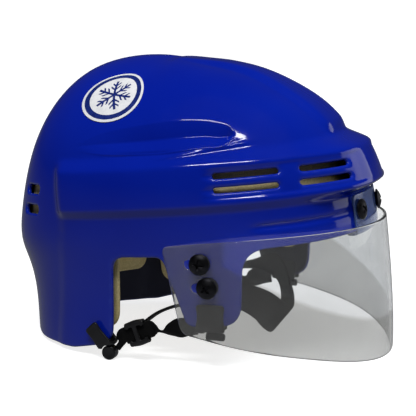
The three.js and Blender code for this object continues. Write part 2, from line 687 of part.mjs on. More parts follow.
const group = new THREE.Group();
function add(name, geometry, material) {
  geometry.computeVertexNormals();
  const mesh = new THREE.Mesh(geometry, material);
  mesh.name = name;
  group.add(mesh);
}

add('shell', shellGeometry(), BLUE);

add('liner_front', padGeometry([-33, 33], [-8, 26], 8, 3, NUT_AIR), FOAM);
add('liner_crown', crownPadGeometry(), FOAM);
add('liner_rear', padGeometry([136, 224], [-39, 27], 10, 5, PAD_AIR), FOAM);
for (const [name, side] of [['left', 1], ['right', -1]]) {
  add(`liner_side_${name}`, padGeometry([36 * side, 105 * side], [-9, 32], 9, 3, PAD_AIR), FOAM);
  const nape = padGeometry([107.5 * side, 130 * side], [-47, 28], 4, 4, PAD_AIR, 0.16 * side);
  add(`liner_nape_${name}`, nape, FOAM);
  add(`liner_temple_${name}`, padGeometry([56 * side, 80 * side], [-31, -12], 3, 2, NUT_AIR), FOAM);
}

add('visor', visorGeometry(), CLEAR);
add('visor_bracket', bracketGeometry(), CLEAR);

for (const screw of visorScrewAxes()) {
  const toVisor = VISOR_HALF - Math.abs(screw.base.y);
  const spacerTop = toVisor - VISOR_THICK - GAP;
  const length = toVisor + WALL + 2;
  add(`visor_screw_${screw.name}`, screwGeometry(screw, toVisor + GAP / 2, length), BLACK_METAL);
  add(`visor_spacer_${screw.name}`, ringGeometry(screw, SPACER_R, SPACER_AIR, spacerTop), RUBBER);
  add(`visor_nut_${screw.name}`, ringGeometry(screw, NUT_R, NUT_AT, NUT_AT + NUT_THICK), STEEL);
}
for (const screw of bracketScrewAxes()) {
  add(`bracket_screw_${screw.name}`, screwGeometry(screw, BRACKET_UNDER_HEAD, 6.2), BLACK_METAL);
  add(`bracket_nut_${screw.name}`, ringGeometry(screw, NUT_R, NUT_AT, NUT_AT + NUT_THICK), STEEL);
}

for (const [name, side] of [['left', 1], ['right', -1]]) {
  for (const [place, clip] of Object.entries(CLIPS)) {
    add(`clip_${place}_${name}`, clipGeometry(clip, side), BLACK_PLASTIC);
    add(`clip_knob_${place}_${name}`, knobSolid(clip, side, 0), BLACK_PLASTIC);
  }
  add(`side_strap_${name}`, sideStrapGeometry(side), WEBBING);
  add(`slider_${name}`, sliderGeometry(side), BLACK_PLASTIC);
  add(`decal_${name}`, decalGeometry(side), STICKER);
}
add('chin_strap', chinStrapGeometry(), WEBBING);

export default group;
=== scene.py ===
"""Looks for a hockey helmet with a clear visor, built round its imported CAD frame.

Shapes are worked out in millimetres in the helmet's own frame: x forwards, y to the wearer's
left, z up. The shell's formulas use its level frame, and placed() tips that nose up by NOSE_UP.
"""

import math

import bpy
import numpy as np
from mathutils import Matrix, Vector


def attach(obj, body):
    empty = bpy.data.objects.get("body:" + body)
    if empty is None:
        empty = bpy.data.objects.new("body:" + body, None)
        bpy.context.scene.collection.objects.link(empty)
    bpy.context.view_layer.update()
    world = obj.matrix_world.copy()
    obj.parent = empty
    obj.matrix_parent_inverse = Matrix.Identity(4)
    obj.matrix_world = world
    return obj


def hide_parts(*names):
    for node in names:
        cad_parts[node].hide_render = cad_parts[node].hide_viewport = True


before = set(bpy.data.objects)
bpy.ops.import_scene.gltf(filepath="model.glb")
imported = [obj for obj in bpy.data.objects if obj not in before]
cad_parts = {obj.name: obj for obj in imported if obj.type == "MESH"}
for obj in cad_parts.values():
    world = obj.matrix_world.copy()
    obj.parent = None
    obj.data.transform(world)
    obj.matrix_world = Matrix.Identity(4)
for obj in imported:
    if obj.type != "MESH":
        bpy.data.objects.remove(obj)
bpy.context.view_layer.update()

# ---- driving dimensions, in millimetres, headings in degrees ----
FRAME_X = 1.0  # from the shell's own centre to the part's origin
FRAME_Z = 65.0
NOSE_UP = math.radians(5.8)
CENTRE_X = -6.0
CENTRE_W = 8.0
SQUARENESS = 2.35
WALL = 2.4
BAND_LOW = (6.4, 10.2)
BAND_HIGH = (28.6, 33.8)
BAND_LIFT = 3.4
BROW_LIFT = 5.0
PANEL_LIFT = 1.2
PANEL_EDGE = 131.0
RIDGE_LIFT = 2.2
RIDGE_HALF = 9.0
PAD_THICK = 3.0
PAD_AIR = 1.4
NUT_AIR = 2.6
EAR_TOP = -13.0
VISOR_THICK = 1.5
VISOR_HALF = 65.4
VISOR_FLAT_X = 25.0
VISOR_TOP_X = 89.0
VISOR_LOW_X = 93.9
REFLECTION_EDGE_AT = (30.0, -13.6)  # painted reflection: the visor is tinted darker and hazier behind and below a line through this place
REFLECTION_EDGE_FALL = 0.5
BRACKET_THICK = 1.3
BRACKET_HALF = 20.0
SLOT_TRAVEL = 5.6
SLOT_HALF = 2.3
SCREW_HEAD_R = 4.9
SHANK_R = 1.6
BORE_R = 1.9
SPACER_R = 4.3
SPACER_AIR = 0.85
NUT_R = 3.4
NUT_AT = (-WALL - 2.1, -WALL - 0.9)
STRAP_THICK = 1.2
STRAP_Y = 57.0
SLIDER_AT = (-14.2, -51.0)
SLIDER_RUN = math.radians(20)
CLIP_THICK = 1.4
DECAL_RADIUS = 16.0
DECAL_AT = (117.5, 50.5)

# Half profiles of the shell in its level frame, from the crown down: (distance, height).
FRONT = [(-6, 76.2), (8.5, 72.4), (30.1, 66.4), (49.3, 56), (63.6, 44.3), (73.4, 30.2), (80, 11),
         (82, -14), (81.5, -36), (79, -63)]
REAR = [(-6, 76.2), (-20, 78.4), (-36.1, 78.2), (-53.3, 73.8), (-70.3, 61.1), (-81.6, 44.8),
        (-89.9, 25.4), (-95.7, 5), (-96.9, -8.1), (-94.4, -17.5), (-92.3, -29), (-92.4, -43),
        (-93.4, -63)]
SIDE = [(0, 76.2), (14, 74.6), (28, 69.3), (41, 60.5), (51.5, 48.5), (58.5, 34), (62, 17),
        (62.6, 0), (61.3, -20), (59.8, -38), (57.8, -62)]

# Slots through the band: two headings and the level height of the middle, and half its height.
SIDE_SLOTS = [(38.8, 60.8, 23.3, 1.0), (39.5, 61, 16.9, 1.0),
              (15.8, 31.5, 22.9, 1.0), (16, 32.2, 16.7, 1.0)]
REAR_SLOTS = [(142.5, 152.5, 19.5, 2.1), (142.5, 152.5, 9.9, 2.1)]
VISOR_SCREWS = [(20.0, -13.9), (23.6, -24.6)]
BRACKET_SCREW = (15.2, 6.6)


# ---- small maths ----
def smooth(start, end, x):
    """0 at start, 1 at end, eased."""
    t = np.clip((x - start) / (end - start), 0, 1)
    return t * t * (3 - 2 * t)


def ramp(start, end, x, soft):
    """A straight ramp from 0 at start to 1 at end, its two corners rounded over about soft."""
    def corner(d):
        return soft * np.logaddexp(0, d / soft)

    span = end - start
    sign = 1 if span > 0 else -1
    return (corner(sign * (x - start)) - corner(sign * (x - end))) / abs(span)


def mix(a, b, t):
    return a + (b - a) * t


def soft_max(a, b, k):
    """The larger of two, rounded over k where they meet."""
    h = np.clip(0.5 + 0.5 * (a - b) / k, 0, 1)
    return mix(b, a, h) + k * h * (1 - h)


def unit(v):
    return v / np.maximum(np.linalg.norm(v, axis=-1, keepdims=True), 1e-9)


def natural_cubic(xs, ys):
    """A natural cubic through rising xs, for arrays."""
    xs = np.array(xs, float)
    ys = np.array(ys, float)
    h = np.diff(xs)
    n = len(xs)
    a = np.eye(n)
    b = np.zeros(n)
    for i in range(1, n - 1):
        a[i, i - 1:i + 2] = h[i - 1], 2 * (h[i - 1] + h[i]), h[i]
        b[i] = 6 * ((ys[i + 1] - ys[i]) / h[i] - (ys[i] - ys[i - 1]) / h[i - 1])
    bend = np.linalg.solve(a, b)

    def value(x):
        x = np.asarray(x, float)
        i = np.clip(np.searchsorted(xs, x) - 1, 0, n - 2)
        d = x - xs[i]
        e = xs[i + 1] - x
        ends = (ys[i] / h[i] - bend[i] * h[i] / 6) * e + (ys[i + 1] / h[i] - bend[i + 1] * h[i] / 6) * d
        return (bend[i] * e**3 + bend[i + 1] * d**3) / (6 * h[i]) + ends

    return value


def radius_of(profile, side, from_x):
    """Radius from the shell's pole against elevation, from a half profile."""
    out = [(x - from_x) * side for x, _ in profile]
    up = [w - CENTRE_W for _, w in profile]
    pairs = sorted((math.atan2(u, o), math.hypot(o, u)) for o, u in zip(out, up))
    return natural_cubic([p[0] for p in pairs], [p[1] for p in pairs])


front_radius = radius_of(FRONT, 1, CENTRE_X)
rear_radius = radius_of(REAR, -1, CENTRE_X)
side_radius = radius_of(SIDE, 1, 0)


# ---- shell surface, level frame ----
def dome_point(heading, rise):
    """heading 0 is the front and positive is left; rise is the elevation from the pole."""
    c = np.cos(heading)
    s = np.sin(heading)
    along = np.where(c >= 0, front_radius(rise), rear_radius(rise))
    n = 2 + (SQUARENESS - 2) * smooth(math.radians(65), math.radians(15), rise)
    r = (np.abs(c / along) ** n + np.abs(s / side_radius(rise)) ** n) ** (-1 / n)
    flat = r * np.cos(rise)
    return np.stack([CENTRE_X + flat * c, flat * s, CENTRE_W + r * np.sin(rise)], -1)


def surface_normal(point, heading, rise, step=2e-4):
    """The outward normal of a surface given as point(heading, rise)."""
    rise = np.minimum(rise, math.radians(89.5))
    across = point(heading + step, rise) - point(heading - step, rise)
    upwards = point(heading, rise + step) - point(heading, rise - step)
    return unit(np.cross(across, upwards))


def dome_normal(heading, rise):
    return surface_normal(dome_point, heading, rise, 1e-3)


def rise_at(heading, w):
    """Elevation at which a meridian passes a level height."""
    heading, w = np.broadcast_arrays(np.asarray(heading, float), np.asarray(w, float))
    low = np.full(heading.shape, math.radians(-60))
    high = np.full(heading.shape, math.radians(88))
    for _ in range(40):
        middle = (low + high) / 2
        below = dome_point(heading, middle)[..., 2] < w
        low = np.where(below, middle, low)
        high = np.where(below, high, middle)
    return (low + high) / 2


def degrees_off(heading):
    """Angle from straight ahead, 0 to 180 degrees, the same on both sides."""
    return np.degrees(np.abs(np.arctan2(np.sin(heading), np.cos(heading))))


def band_arc():
    """Length along the band from the front against the angle off straight ahead."""
    angles = np.radians(np.arange(0, 181.0))
    points = dome_point(angles, rise_at(angles, 20.0))
    steps = np.linalg.norm(np.diff(points, axis=0), axis=1)
    return np.degrees(angles), np.concatenate([[0], np.cumsum(steps)])


ARC_ANGLES, ARC_LENGTHS = band_arc()


def arc_at(angle):
    return np.interp(angle, ARC_ANGLES, ARC_LENGTHS)


def band_lift(angle, w):
    """How far the side panel, the band and the brow stand out from the dome."""
    edge = PANEL_EDGE + 0.2 * np.maximum(0, -w) + 0.11 * np.maximum(0, w - 6)
    panel = ramp(0.5, -3.5, angle - edge, 0.5)
    brow = ramp(33, 16.5, angle, 1.0)
    wall = panel * PANEL_LIFT * (1 - smooth(38, 14, angle))
    band = panel * (BAND_LIFT + BROW_LIFT * brow)
    rise_in = ramp(BAND_LOW[0], BAND_LOW[1], w, 0.35)
    fall_off = ramp(BAND_HIGH[1], BAND_HIGH[0], w, 0.6)
    return np.where(w < 20, mix(wall, band, rise_in), band * fall_off)


def ridge_lift(p):
    """The raised centre plate from the crown to the brow."""
    x, y, w = p[..., 0], np.abs(p[..., 1]), p[..., 2]
    spread = 5 * smooth(20, 62, x)
    along = smooth(-10, 18, x) * smooth(32, 40, w)
    return RIDGE_LIFT * along * ramp(RIDGE_HALF + 3.2, RIDGE_HALF - 0.6, y - spread, 0.7)


def distance_to_path(x, y, path):
    """Distance from points to an open path of 2D points."""
    best = np.full(np.shape(x), 1e9)
    for (ax, ay), (bx, by) in zip(path[:-1], path[1:]):
        dx, dy = bx - ax, by - ay
        t = np.clip(((x - ax) * dx + (y - ay) * dy) / (dx * dx + dy * dy), 0, 1)
        best = np.minimum(best, np.hypot(x - ax - t * dx, y - ay - t * dy))
    return best


# The side scoop: level heights of its upper lip and its foot against level x.
SCOOP_TOP = [(-44, 39.5), (-34.6, 43.4), (-21.7, 46.3), (-5.5, 47.8), (5, 48.5), (15, 48.2),
             (23, 47.2), (29.2, 45.4), (33.6, 43), (36, 40.6)]
SCOOP_FOOT = [(-44, 39.5), (-30, 37), (-10, 35.9), (8, 36.0), (24, 36.8), (33.2, 38.2), (36, 40.6)]
SCOOP_DEPTH = 2.2
SCOOP_CREASE = 0.44
scoop_top = natural_cubic(*zip(*SCOOP_TOP))
scoop_foot = natural_cubic(*zip(*SCOOP_FOOT))


def scoop_span(x):
    """Heights of the scoop's foot and upper lip where the shell is at a level x."""
    x = np.clip(x, -44, 36)
    middle = (scoop_top(x) + scoop_foot(x)) / 2
    half = np.maximum((scoop_top(x) - scoop_foot(x)) / 2, 1.2)
    return middle - half, middle + half


def scoop_depth(x, w):
    """The teardrop air scoop above the band: two slopes that meet in a crease."""
    foot, top = scoop_span(x)
    share = (w - foot) / (top - foot)
    fold = -soft_max(-share / SCOOP_CREASE, -(1 - share) / (1 - SCOOP_CREASE), 0.10)
    fold = soft_max(fold, np.zeros_like(fold), 0.07)
    along = smooth(-46, -4, x) * smooth(36, 32.4, x)
    lip = smooth(-44, -16, x) * smooth(38, 34, x) * np.exp(-(((w - foot + 1.1) / 0.5) ** 2))
    return SCOOP_DEPTH * fold * along - 0.3 * lip


def slot_groove(arc, w, slot):
    """The shallow trough that a slot lies in, drawn out to a point at its ends."""
    start, end, middle, _ = slot
    near, far = arc_at(start), arc_at(end)
    reach = 6.5 if start > 35 else 2.5
    length = smooth(near - 2.5, near + 1, arc) * smooth(far + reach, far - 1, arc)
    width = 1.9 * (0.45 + 0.55 * smooth(far + reach, far, arc))
    return 0.85 * length * np.exp(-((w - middle) / width) ** 2)


def relief(p, angle):
    """Depth pressed into the shell's outer face."""
    x, w = p[..., 0], p[..., 2]
    arc = arc_at(angle)
    depth = np.zeros(x.shape)
    lens_along = smooth(arc_at(6), arc_at(12), arc) * smooth(arc_at(67), arc_at(58), arc)
    lens = ramp(12.2, 13.2, w, 0.3) * ramp(27.2, 26.0, w, 0.3)
    depth += 0.75 * lens_along * lens
    for slot in SIDE_SLOTS:
        depth += slot_groove(arc, w, slot)
    groove = smooth(11, 17, angle) * smooth(52, 44, angle)
    depth += 1.0 * groove * np.exp(-(((w + 1.6) / 1.5) ** 2))
    side = angle < 150
    near = side & (w > 30) & (w < 53) & (x > -46) & (x < 40)
    depth[near] += scoop_depth(x[near], w[near])
    bead = smooth(-4, 8, x) * smooth(44, 38, x) * side
    bead_w = 33.2 + 0.105 * (x - 9)
    depth -= 0.35 * bead * np.exp(-(((w - bead_w) / 0.8) ** 2))
    dimple = smooth(-30, -12, x) * smooth(12, 2, x) * side
    depth += 0.5 * dimple * np.exp(-(((w - 34.6) / 1.1) ** 2))
    return depth


def shell_point(heading, rise):
    """The finished outer face of the shell."""
    p = dome_point(heading, rise)
    n = dome_normal(heading, rise)
    angle = degrees_off(heading)
    out = n * np.array([1, 1, 0])
    out = unit(out)
    lift = band_lift(angle, p[..., 2])[..., None]
    pressed = (ridge_lift(p) - relief(p, angle))[..., None]
    return p + out * lift + n * pressed


def placed(p):
    """Level frame to the part's frame."""
    c, s = math.cos(NOSE_UP), math.sin(NOSE_UP)
    x, y, w = p[..., 0], p[..., 1], p[..., 2]
    return np.stack([x * c - w * s + FRAME_X, y, x * s + w * c + FRAME_Z], -1)


def turned_level(v):
    """A direction in the level frame, in the part's frame."""
    c, s = math.cos(NOSE_UP), math.sin(NOSE_UP)
    return np.stack([v[..., 0] * c - v[..., 2] * s, v[..., 1], v[..., 0] * s + v[..., 2] * c], -1)


# ---- materials ----
class Shader:
    """A node material while it is being put together."""

    def __init__(self, name):
        self.material = bpy.data.materials.new(name)
        self.material.use_nodes = True
        self.tree = self.material.node_tree
        self.tree.nodes.clear()
        self.surface = self.add("ShaderNodeOutputMaterial")

    def add(self, kind, settings=None, **inputs):
        node = self.tree.nodes.new(kind)
        for key, value in (settings or {}).items():
            setattr(node, key, value)
        for key, value in inputs.items():
            self.put(node.inputs[int(key[1:]) if key[1:].isdigit() else key.replace("_", " ")], value)
        return node

    def put(self, socket, value):
        if isinstance(value, bpy.types.NodeSocket):
            self.tree.links.new(value, socket)
        else:
            socket.default_value = value

    def math(self, kind, a, b=0.0, c=0.0):
        return self.add("ShaderNodeMath", {"operation": kind}, i0=a, i1=b, i2=c).outputs[0]

    def place(self):
        return self.add("ShaderNodeTexCoord").outputs["Object"]

    def value_of(self, attribute):
        return self.add("ShaderNodeAttribute", {"attribute_name": attribute}).outputs["Fac"]

    def noise(self, scale, detail=3.0, rough=0.5):
        node = self.add("ShaderNodeTexNoise", Vector=self.place(), Scale=scale, Detail=detail,
                        Roughness=rough)
        return node.outputs["Fac"]

    def cells(self, scale, feature="F1"):
        node = self.add("ShaderNodeTexVoronoi", {"feature": feature}, Vector=self.place(), Scale=scale)
        return node.outputs["Distance"]

    def between(self, value, low, high, start=0.0, end=1.0):
        """Maps a value running from start to end on to low to high."""
        node = self.add("ShaderNodeMapRange", i0=value, i1=start, i2=end, i3=low, i4=high)
        return node.outputs[0]

    def blend(self, share, a, b):
        """A colour between two, by share."""
        node = self.add("ShaderNodeMix", {"data_type": "RGBA"}, Factor=share)
        self.put(node.inputs[6], a)
        self.put(node.inputs[7], b)
        return node.outputs[2]

    def bump(self, height, strength, distance):
        node = self.add("ShaderNodeBump", Height=height, Strength=strength, Distance=distance)
        return node.outputs["Normal"]

    def finish(self, **inputs):
        """The main shader, with its sockets set, as the surface."""
        main = self.add("ShaderNodeBsdfPrincipled", **inputs)
        self.put(self.surface.inputs["Surface"], main.outputs[0])
        return main


def shade(red, green, blue):
    """A display colour, 0 to 255, as linear light."""
    def linear(value):
        value = value / 255
        return value / 12.92 if value <= 0.04045 else ((value + 0.055) / 1.055) ** 2.4
    return (linear(red), linear(green), linear(blue), 1.0)


def shell_material():
    """Glossy royal blue moulding: faint ripple, fine scuffs, paler and duller along its edges, and painted
    shade on its inner face.
    """
    s = Shader("shell_plastic")
    broad = s.between(s.noise(9), 0, 1, 0.35, 0.65)
    fine = s.between(s.noise(320, 6), 0, 1, 0.3, 0.7)
    edge = s.math("POWER", s.value_of("edge"), 6.0)
    colour = s.blend(broad, shade(2, 28, 152), shade(6, 36, 166))
    worn = s.math("MULTIPLY", edge, s.between(fine, 0.05, 0.35))
    colour = s.blend(worn, colour, shade(70, 96, 190))
    # Painted shade: the inner face is blended to a near-black navy to stand for the shade inside the
    # shell, and it is made rougher.
    inside = s.between(s.value_of("inside"), 0, 1, 0.5, 0.9)
    colour = s.blend(inside, colour, shade(5, 9, 44))
    scuffs = s.between(s.noise(70, 8, 0.7), 0, 1, 0.55, 0.8)
    rough = s.math("ADD", s.between(fine, 0.07, 0.11), s.math("MULTIPLY", scuffs, 0.10))
    rough = s.math("ADD", rough, s.math("MULTIPLY", edge, 0.18))
    rough = s.math("ADD", rough, s.math("MULTIPLY", inside, 0.35))
    ripple = s.math("ADD", s.noise(140, 2), s.math("MULTIPLY", s.noise(900, 2), 0.25))
    s.finish(Base_Color=colour, Roughness=rough, IOR=1.46, Normal=s.bump(ripple, 0.12, 0.0004))
    return s.material


def foam_material():
    """Dense tan foam with small cells and a skin of uneven tone."""
    s = Shader("liner_foam")
    cells = s.cells(1100)
    tone = s.between(s.noise(60, 5), 0, 1, 0.3, 0.7)
    pits = s.between(cells, 0, 1, 0.15, 0.6)
    colour = s.blend(tone, shade(226, 209, 150), shade(241, 225, 174))
    colour = s.blend(s.math("MULTIPLY", pits, 0.35), colour, shade(180, 163, 112))
    height = s.math("ADD", s.math("MULTIPLY", cells, -0.6), s.math("MULTIPLY", s.noise(420, 4), 0.8))
    s.finish(Base_Color=colour, Roughness=s.between(tone, 0.82, 0.96), Specular_IOR_Level=0.25,
             Normal=s.bump(height, 0.5, 0.0006))
    return s.material


def clear_material(name, tint, cut_edge_and_highlight_tint, clearness, rough):
    """Clear polycarbonate with fine scuffs, a painted reflection that makes one zone hazier and darker,
    and pale cut edges that are partly frosted and partly painted highlight.
    """
    s = Shader(name)
    haze = s.between(s.noise(45, 7, 0.65), 0, 1, 0.45, 0.75)
    edge = s.math("POWER", s.value_of("edge"), 9.0)
    # Painted reflection: where the sheet is marked, it is made hazier and less clear.
    painted_reflection = s.math("MULTIPLY", s.value_of("painted_reflection"), s.between(haze, 0.03, 0.07))
    clear = s.math("SUBTRACT", clearness, painted_reflection)
    clear = s.math("SUBTRACT", clear, s.math("MULTIPLY", edge, 0.75))
    roughness = s.math("ADD", s.between(haze, rough, rough + 0.05), s.math("MULTIPLY", edge, 0.25))
    colour = s.blend(haze, tint, tuple(mix(np.array(tint), np.array([1, 1, 1, 1]), 0.15)))
    # Painted reflection: the marked zone is tinted darker.
    reflection_tinted = tuple(np.array(tint) * np.array([0.72, 0.71, 0.69, 1.0]))
    colour = s.blend(s.value_of("painted_reflection"), colour, reflection_tinted)
    # Partly painted highlight: the cut edges are blended to a pale tint, partly their frosted cut and
    # partly the light that the rims catch.
    colour = s.blend(edge, colour, cut_edge_and_highlight_tint)
    main = s.finish(Base_Color=colour, Roughness=roughness, IOR=1.46, Transmission_Weight=clear,
                    Normal=s.bump(s.noise(30, 2), 0.05, 0.0004))
    through = s.add("ShaderNodeBsdfTransparent", Color=tuple(mix(np.array(tint), np.ones(4), 0.5)))
    passing = s.add("ShaderNodeLightPath").outputs["Is Shadow Ray"]
    joined = s.add("ShaderNodeMixShader", i0=passing, i1=main.outputs[0], i2=through.outputs[0])
    s.put(s.surface.inputs["Surface"], joined.outputs[0])
    return s.material


def moulded_material(name, dark, light, rough):
    """Black moulded plastic or rubber with a fine satin texture."""
    s = Shader(name)
    tone = s.between(s.noise(240, 5), 0, 1, 0.3, 0.7)
    grain = s.math("ADD", s.noise(2600, 3), s.math("MULTIPLY", s.noise(500, 3), 0.5))
    s.finish(Base_Color=s.blend(tone, dark, light), Roughness=s.between(tone, rough, rough + 0.14),
             Normal=s.bump(grain, 0.25, 0.00012))
    return s.material


def metal_material(name, dark, light, rough):
    """Plated metal with a fine grain and slight tarnish."""
    s = Shader(name)
    tone = s.between(s.noise(500, 6, 0.6), 0, 1, 0.3, 0.7)
    grain = s.math("ADD", s.noise(3500, 2), s.math("MULTIPLY", s.noise(800, 4), 0.5))
    s.finish(Base_Color=s.blend(tone, dark, light), Metallic=1.0,
             Roughness=s.between(tone, rough, rough + 0.18), Normal=s.bump(grain, 0.15, 0.0001))
    return s.material


def webbing_material():
    """Tight black nylon webbing: ribs along it, crossed by fine picks."""
    s = Shader("webbing")
    along, sideways = s.value_of("along"), s.value_of("sideways")
    rib = s.math("SINE", s.math("MULTIPLY", sideways, 2 * math.pi / 1.1))
    shift = s.math("MULTIPLY", s.math("SIGN", rib), math.pi / 2)
    pick = s.math("SINE", s.math("ADD", s.math("MULTIPLY", along, 2 * math.pi / 0.8), shift))
    ribs = s.math("MULTIPLY", s.math("ABSOLUTE", rib), 0.6)
    height = s.math("ADD", ribs, s.math("MULTIPLY", pick, 0.4))
    fuzz = s.noise(2200, 4)
    tone = s.between(s.math("ADD", height, s.math("MULTIPLY", fuzz, 0.8)), 0, 1, 0.1, 1.5)
    raised = s.math("ADD", height, s.math("MULTIPLY", fuzz, 0.3))
    s.finish(Base_Color=s.blend(tone, shade(1, 1, 2), shade(12, 12, 13)), Specular_IOR_Level=0.2,
             Roughness=s.between(fuzz, 0.6, 0.8), Normal=s.bump(raised, 0.8, 0.00025))
    return s.material


def snowflake(s, x, y):
    """1 on the strokes of a six-armed flake, from a place in mm."""
    angle = s.math("ARCTAN2", y, x)
    sector = math.pi / 3
    folded = s.math("PINGPONG", s.math("ADD", angle, 8 * sector), sector / 2)
    far = s.math("SQRT", s.math("ADD", s.math("MULTIPLY", x, x), s.math("MULTIPLY", y, y)))
    along = s.math("MULTIPLY", far, s.math("COSINE", folded))
    off = s.math("MULTIPLY", far, s.math("SINE", folded))
    arm = s.math("MULTIPLY", s.math("LESS_THAN", off, 0.62), s.math("LESS_THAN", along, 9.6))
    marks = arm
    for start, reach in ((3.2, 2.6), (5.9, 2.2)):
        lean = s.math("ABSOLUTE", s.math("SUBTRACT", s.math("SUBTRACT", along, start), off))
        twig = s.math("MULTIPLY", s.math("LESS_THAN", lean, 0.6), s.math("LESS_THAN", off, reach))
        marks = s.math("MAXIMUM", marks, twig)
    return marks, far


def sticker_material():
    """Printed vinyl: white disc, navy ring, plain snowflake."""
    s = Shader("sticker_vinyl")
    marks, far = snowflake(s, s.value_of("sticker_x"), s.value_of("sticker_y"))
    ring = s.math("COMPARE", far, 13.4, 1.25)
    tone = s.between(s.noise(300, 5), 0, 1, 0.3, 0.7)
    paper = s.blend(tone, shade(226, 228, 232), shade(240, 241, 243))
    ink = s.blend(tone, shade(16, 34, 104), shade(24, 44, 122))
    colour = s.blend(s.math("MAXIMUM", marks, ring), paper, ink)
    s.finish(Base_Color=colour, Roughness=s.between(tone, 0.22, 0.34), Coat_Weight=0.25,
             Coat_Roughness=0.12, Normal=s.bump(s.noise(900, 3), 0.08, 0.0002))
    return s.material


def visor_material():
    # The third colour is the pale cut edge, partly frosted and partly painted highlight.
    return clear_material("visor_clear", shade(212, 214, 215), shade(250, 250, 248), 0.995, 0.02)


def bracket_material():
    # The third colour is the pale cut edge, partly frosted and partly painted highlight.
    return clear_material("bracket_plastic", shade(66, 110, 186), shade(238, 228, 208), 0.72, 0.12)


def screw_material():
    return metal_material("screw_black", shade(34, 34, 37), shade(58, 58, 62), 0.28)


def nut_material():
    return metal_material("nut_steel", shade(150, 150, 152), shade(188, 188, 190), 0.25)


def spacer_material():
    return moulded_material("spacer_rubber", shade(18, 18, 19), shade(34, 34, 36), 0.6)


def clip_material():
    return moulded_material("clip_plastic", shade(10, 10, 12), shade(26, 26, 28), 0.34)


def slider_material():
    return moulded_material("slider_plastic", shade(9, 9, 11), shade(24, 24, 26), 0.34)


MAKERS = {
    "shell_plastic": shell_material,
    "liner_foam": foam_material,
    "visor_clear": visor_material,
    "bracket_plastic": bracket_material,
    "screw_black": screw_material,
    "spacer_rubber": spacer_material,
    "nut_steel": nut_material,
    "clip_plastic": clip_material,
    "webbing": webbing_material,
    "slider_plastic": slider_material,
    "sticker_vinyl": sticker_material,
}
made_materials = {}


def material(slot):
    if slot not in made_materials:
        made_materials[slot] = MAKERS[slot]()
    return made_materials[slot]


# ---- meshes ----
def new_object(name, points, faces, normals=None, attributes=None):
    """A smooth-shaded mesh object from points in millimetres."""
    mesh = bpy.data.meshes.new(name)
    mesh.from_pydata((np.asarray(points) * 0.001).tolist(), [], faces)
    mesh.polygons.foreach_set("use_smooth", np.ones(len(mesh.polygons), bool))
    for key, values in (attributes or {}).items():
        layer = mesh.attributes.new(key, "FLOAT", "POINT")
        layer.data.foreach_set("value", np.asarray(values, np.float32))
    mesh.update()
    if normals is not None:
        mesh.normals_split_custom_set_from_vertices(unit(np.asarray(normals)).tolist())
    made = bpy.data.objects.new(name, mesh)
    bpy.context.scene.collection.objects.link(made)
    return made


def dressed(piece, slot, body):
    """Gives a piece its material and its body."""
    piece.data.materials.append(material(slot))
    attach(piece, body)
    return piece


def differences(a, wrap):
    """Central differences down the first axis."""
    if wrap:
        return (np.roll(a, -1, 0) - np.roll(a, 1, 0)) / 2
    return np.gradient(a, axis=0)


def surface_gradient(points, field, wrap):
    """The direction on the surface in which a field grows, with its steepness."""
    pu = differences(points, wrap)
    pv = np.gradient(points, axis=1)
    fu = differences(field, wrap)
    fv = np.gradient(field, axis=1)
    uu = (pu * pu).sum(-1) + 1e-9
    vv = (pv * pv).sum(-1) + 1e-9
    uv = (pu * pv).sum(-1)
    det = np.maximum(uu * vv - uv * uv, 1e-9)
    a = (fu * vv - fv * uv) / det
    b = (fv * uu - fu * uv) / det
    return pu * a[..., None] + pv * b[..., None]


def grid_triangles(nu, nv, wrap):
    """Triangles of an nu by nv grid of points, alternating their diagonals."""
    columns = nu if wrap else nu - 1
    i, j = np.meshgrid(np.arange(columns), np.arange(nv - 1), indexing="ij")
    a = (i * nv + j).ravel()
    b = ((i + 1) % nu * nv + j).ravel()
    c = b + 1
    d = a + 1
    odd = ((i + j) % 2 == 1).ravel()
    first = np.where(odd[:, None], np.stack([a, b, d], 1), np.stack([a, b, c], 1))
    second = np.where(odd[:, None], np.stack([b, c, d], 1), np.stack([a, c, d], 1))
    return np.concatenate([first, second])


def open_edges(faces):
    """Directed edges that only one face has."""
    pairs = [(a, b) for face in faces for a, b in zip(face, face[1:] + face[:1])]
    known = set(pairs)
    return [(a, b) for a, b in pairs if (b, a) not in known]


def clipped(points, packed, slopes, level, triangles):
    """Keeps what lies below level 0, with new points where edges cross it."""
    extra = []
    crossing_of = {}
    sign = np.sign(level[triangles])
    inside = (sign <= 0).all(1) & (sign < 0).any(1)
    faces = triangles[inside].tolist()
    crossing = (sign > 0).any(1) & (sign < 0).any(1)

    def cross(a, b):
        key = (min(a, b), max(a, b))
        if key not in crossing_of:
            crossing_of[key] = len(points) + len(extra)
            extra.append((key, level[key[0]] / (level[key[0]] - level[key[1]])))
        return crossing_of[key]

    for triangle in triangles[crossing].tolist():
        face = []
        for a, b in zip(triangle, triangle[1:] + triangle[:1]):
            if level[a] <= 0:
                face.append(a)
            if level[a] * level[b] < 0:
                face.append(cross(a, b))
        faces.append(face)
    if extra:
        a = np.array([key[0] for key, _ in extra])
        b = np.array([key[1] for key, _ in extra])
        t = np.array([share for _, share in extra])[:, None]
        points = np.concatenate([points, mix(points[a], points[b], t)])
        packed = np.concatenate([packed, mix(packed[a], packed[b], t)])
        slopes = np.concatenate([slopes, mix(slopes[a], slopes[b], t)])
    return points, packed, slopes, faces


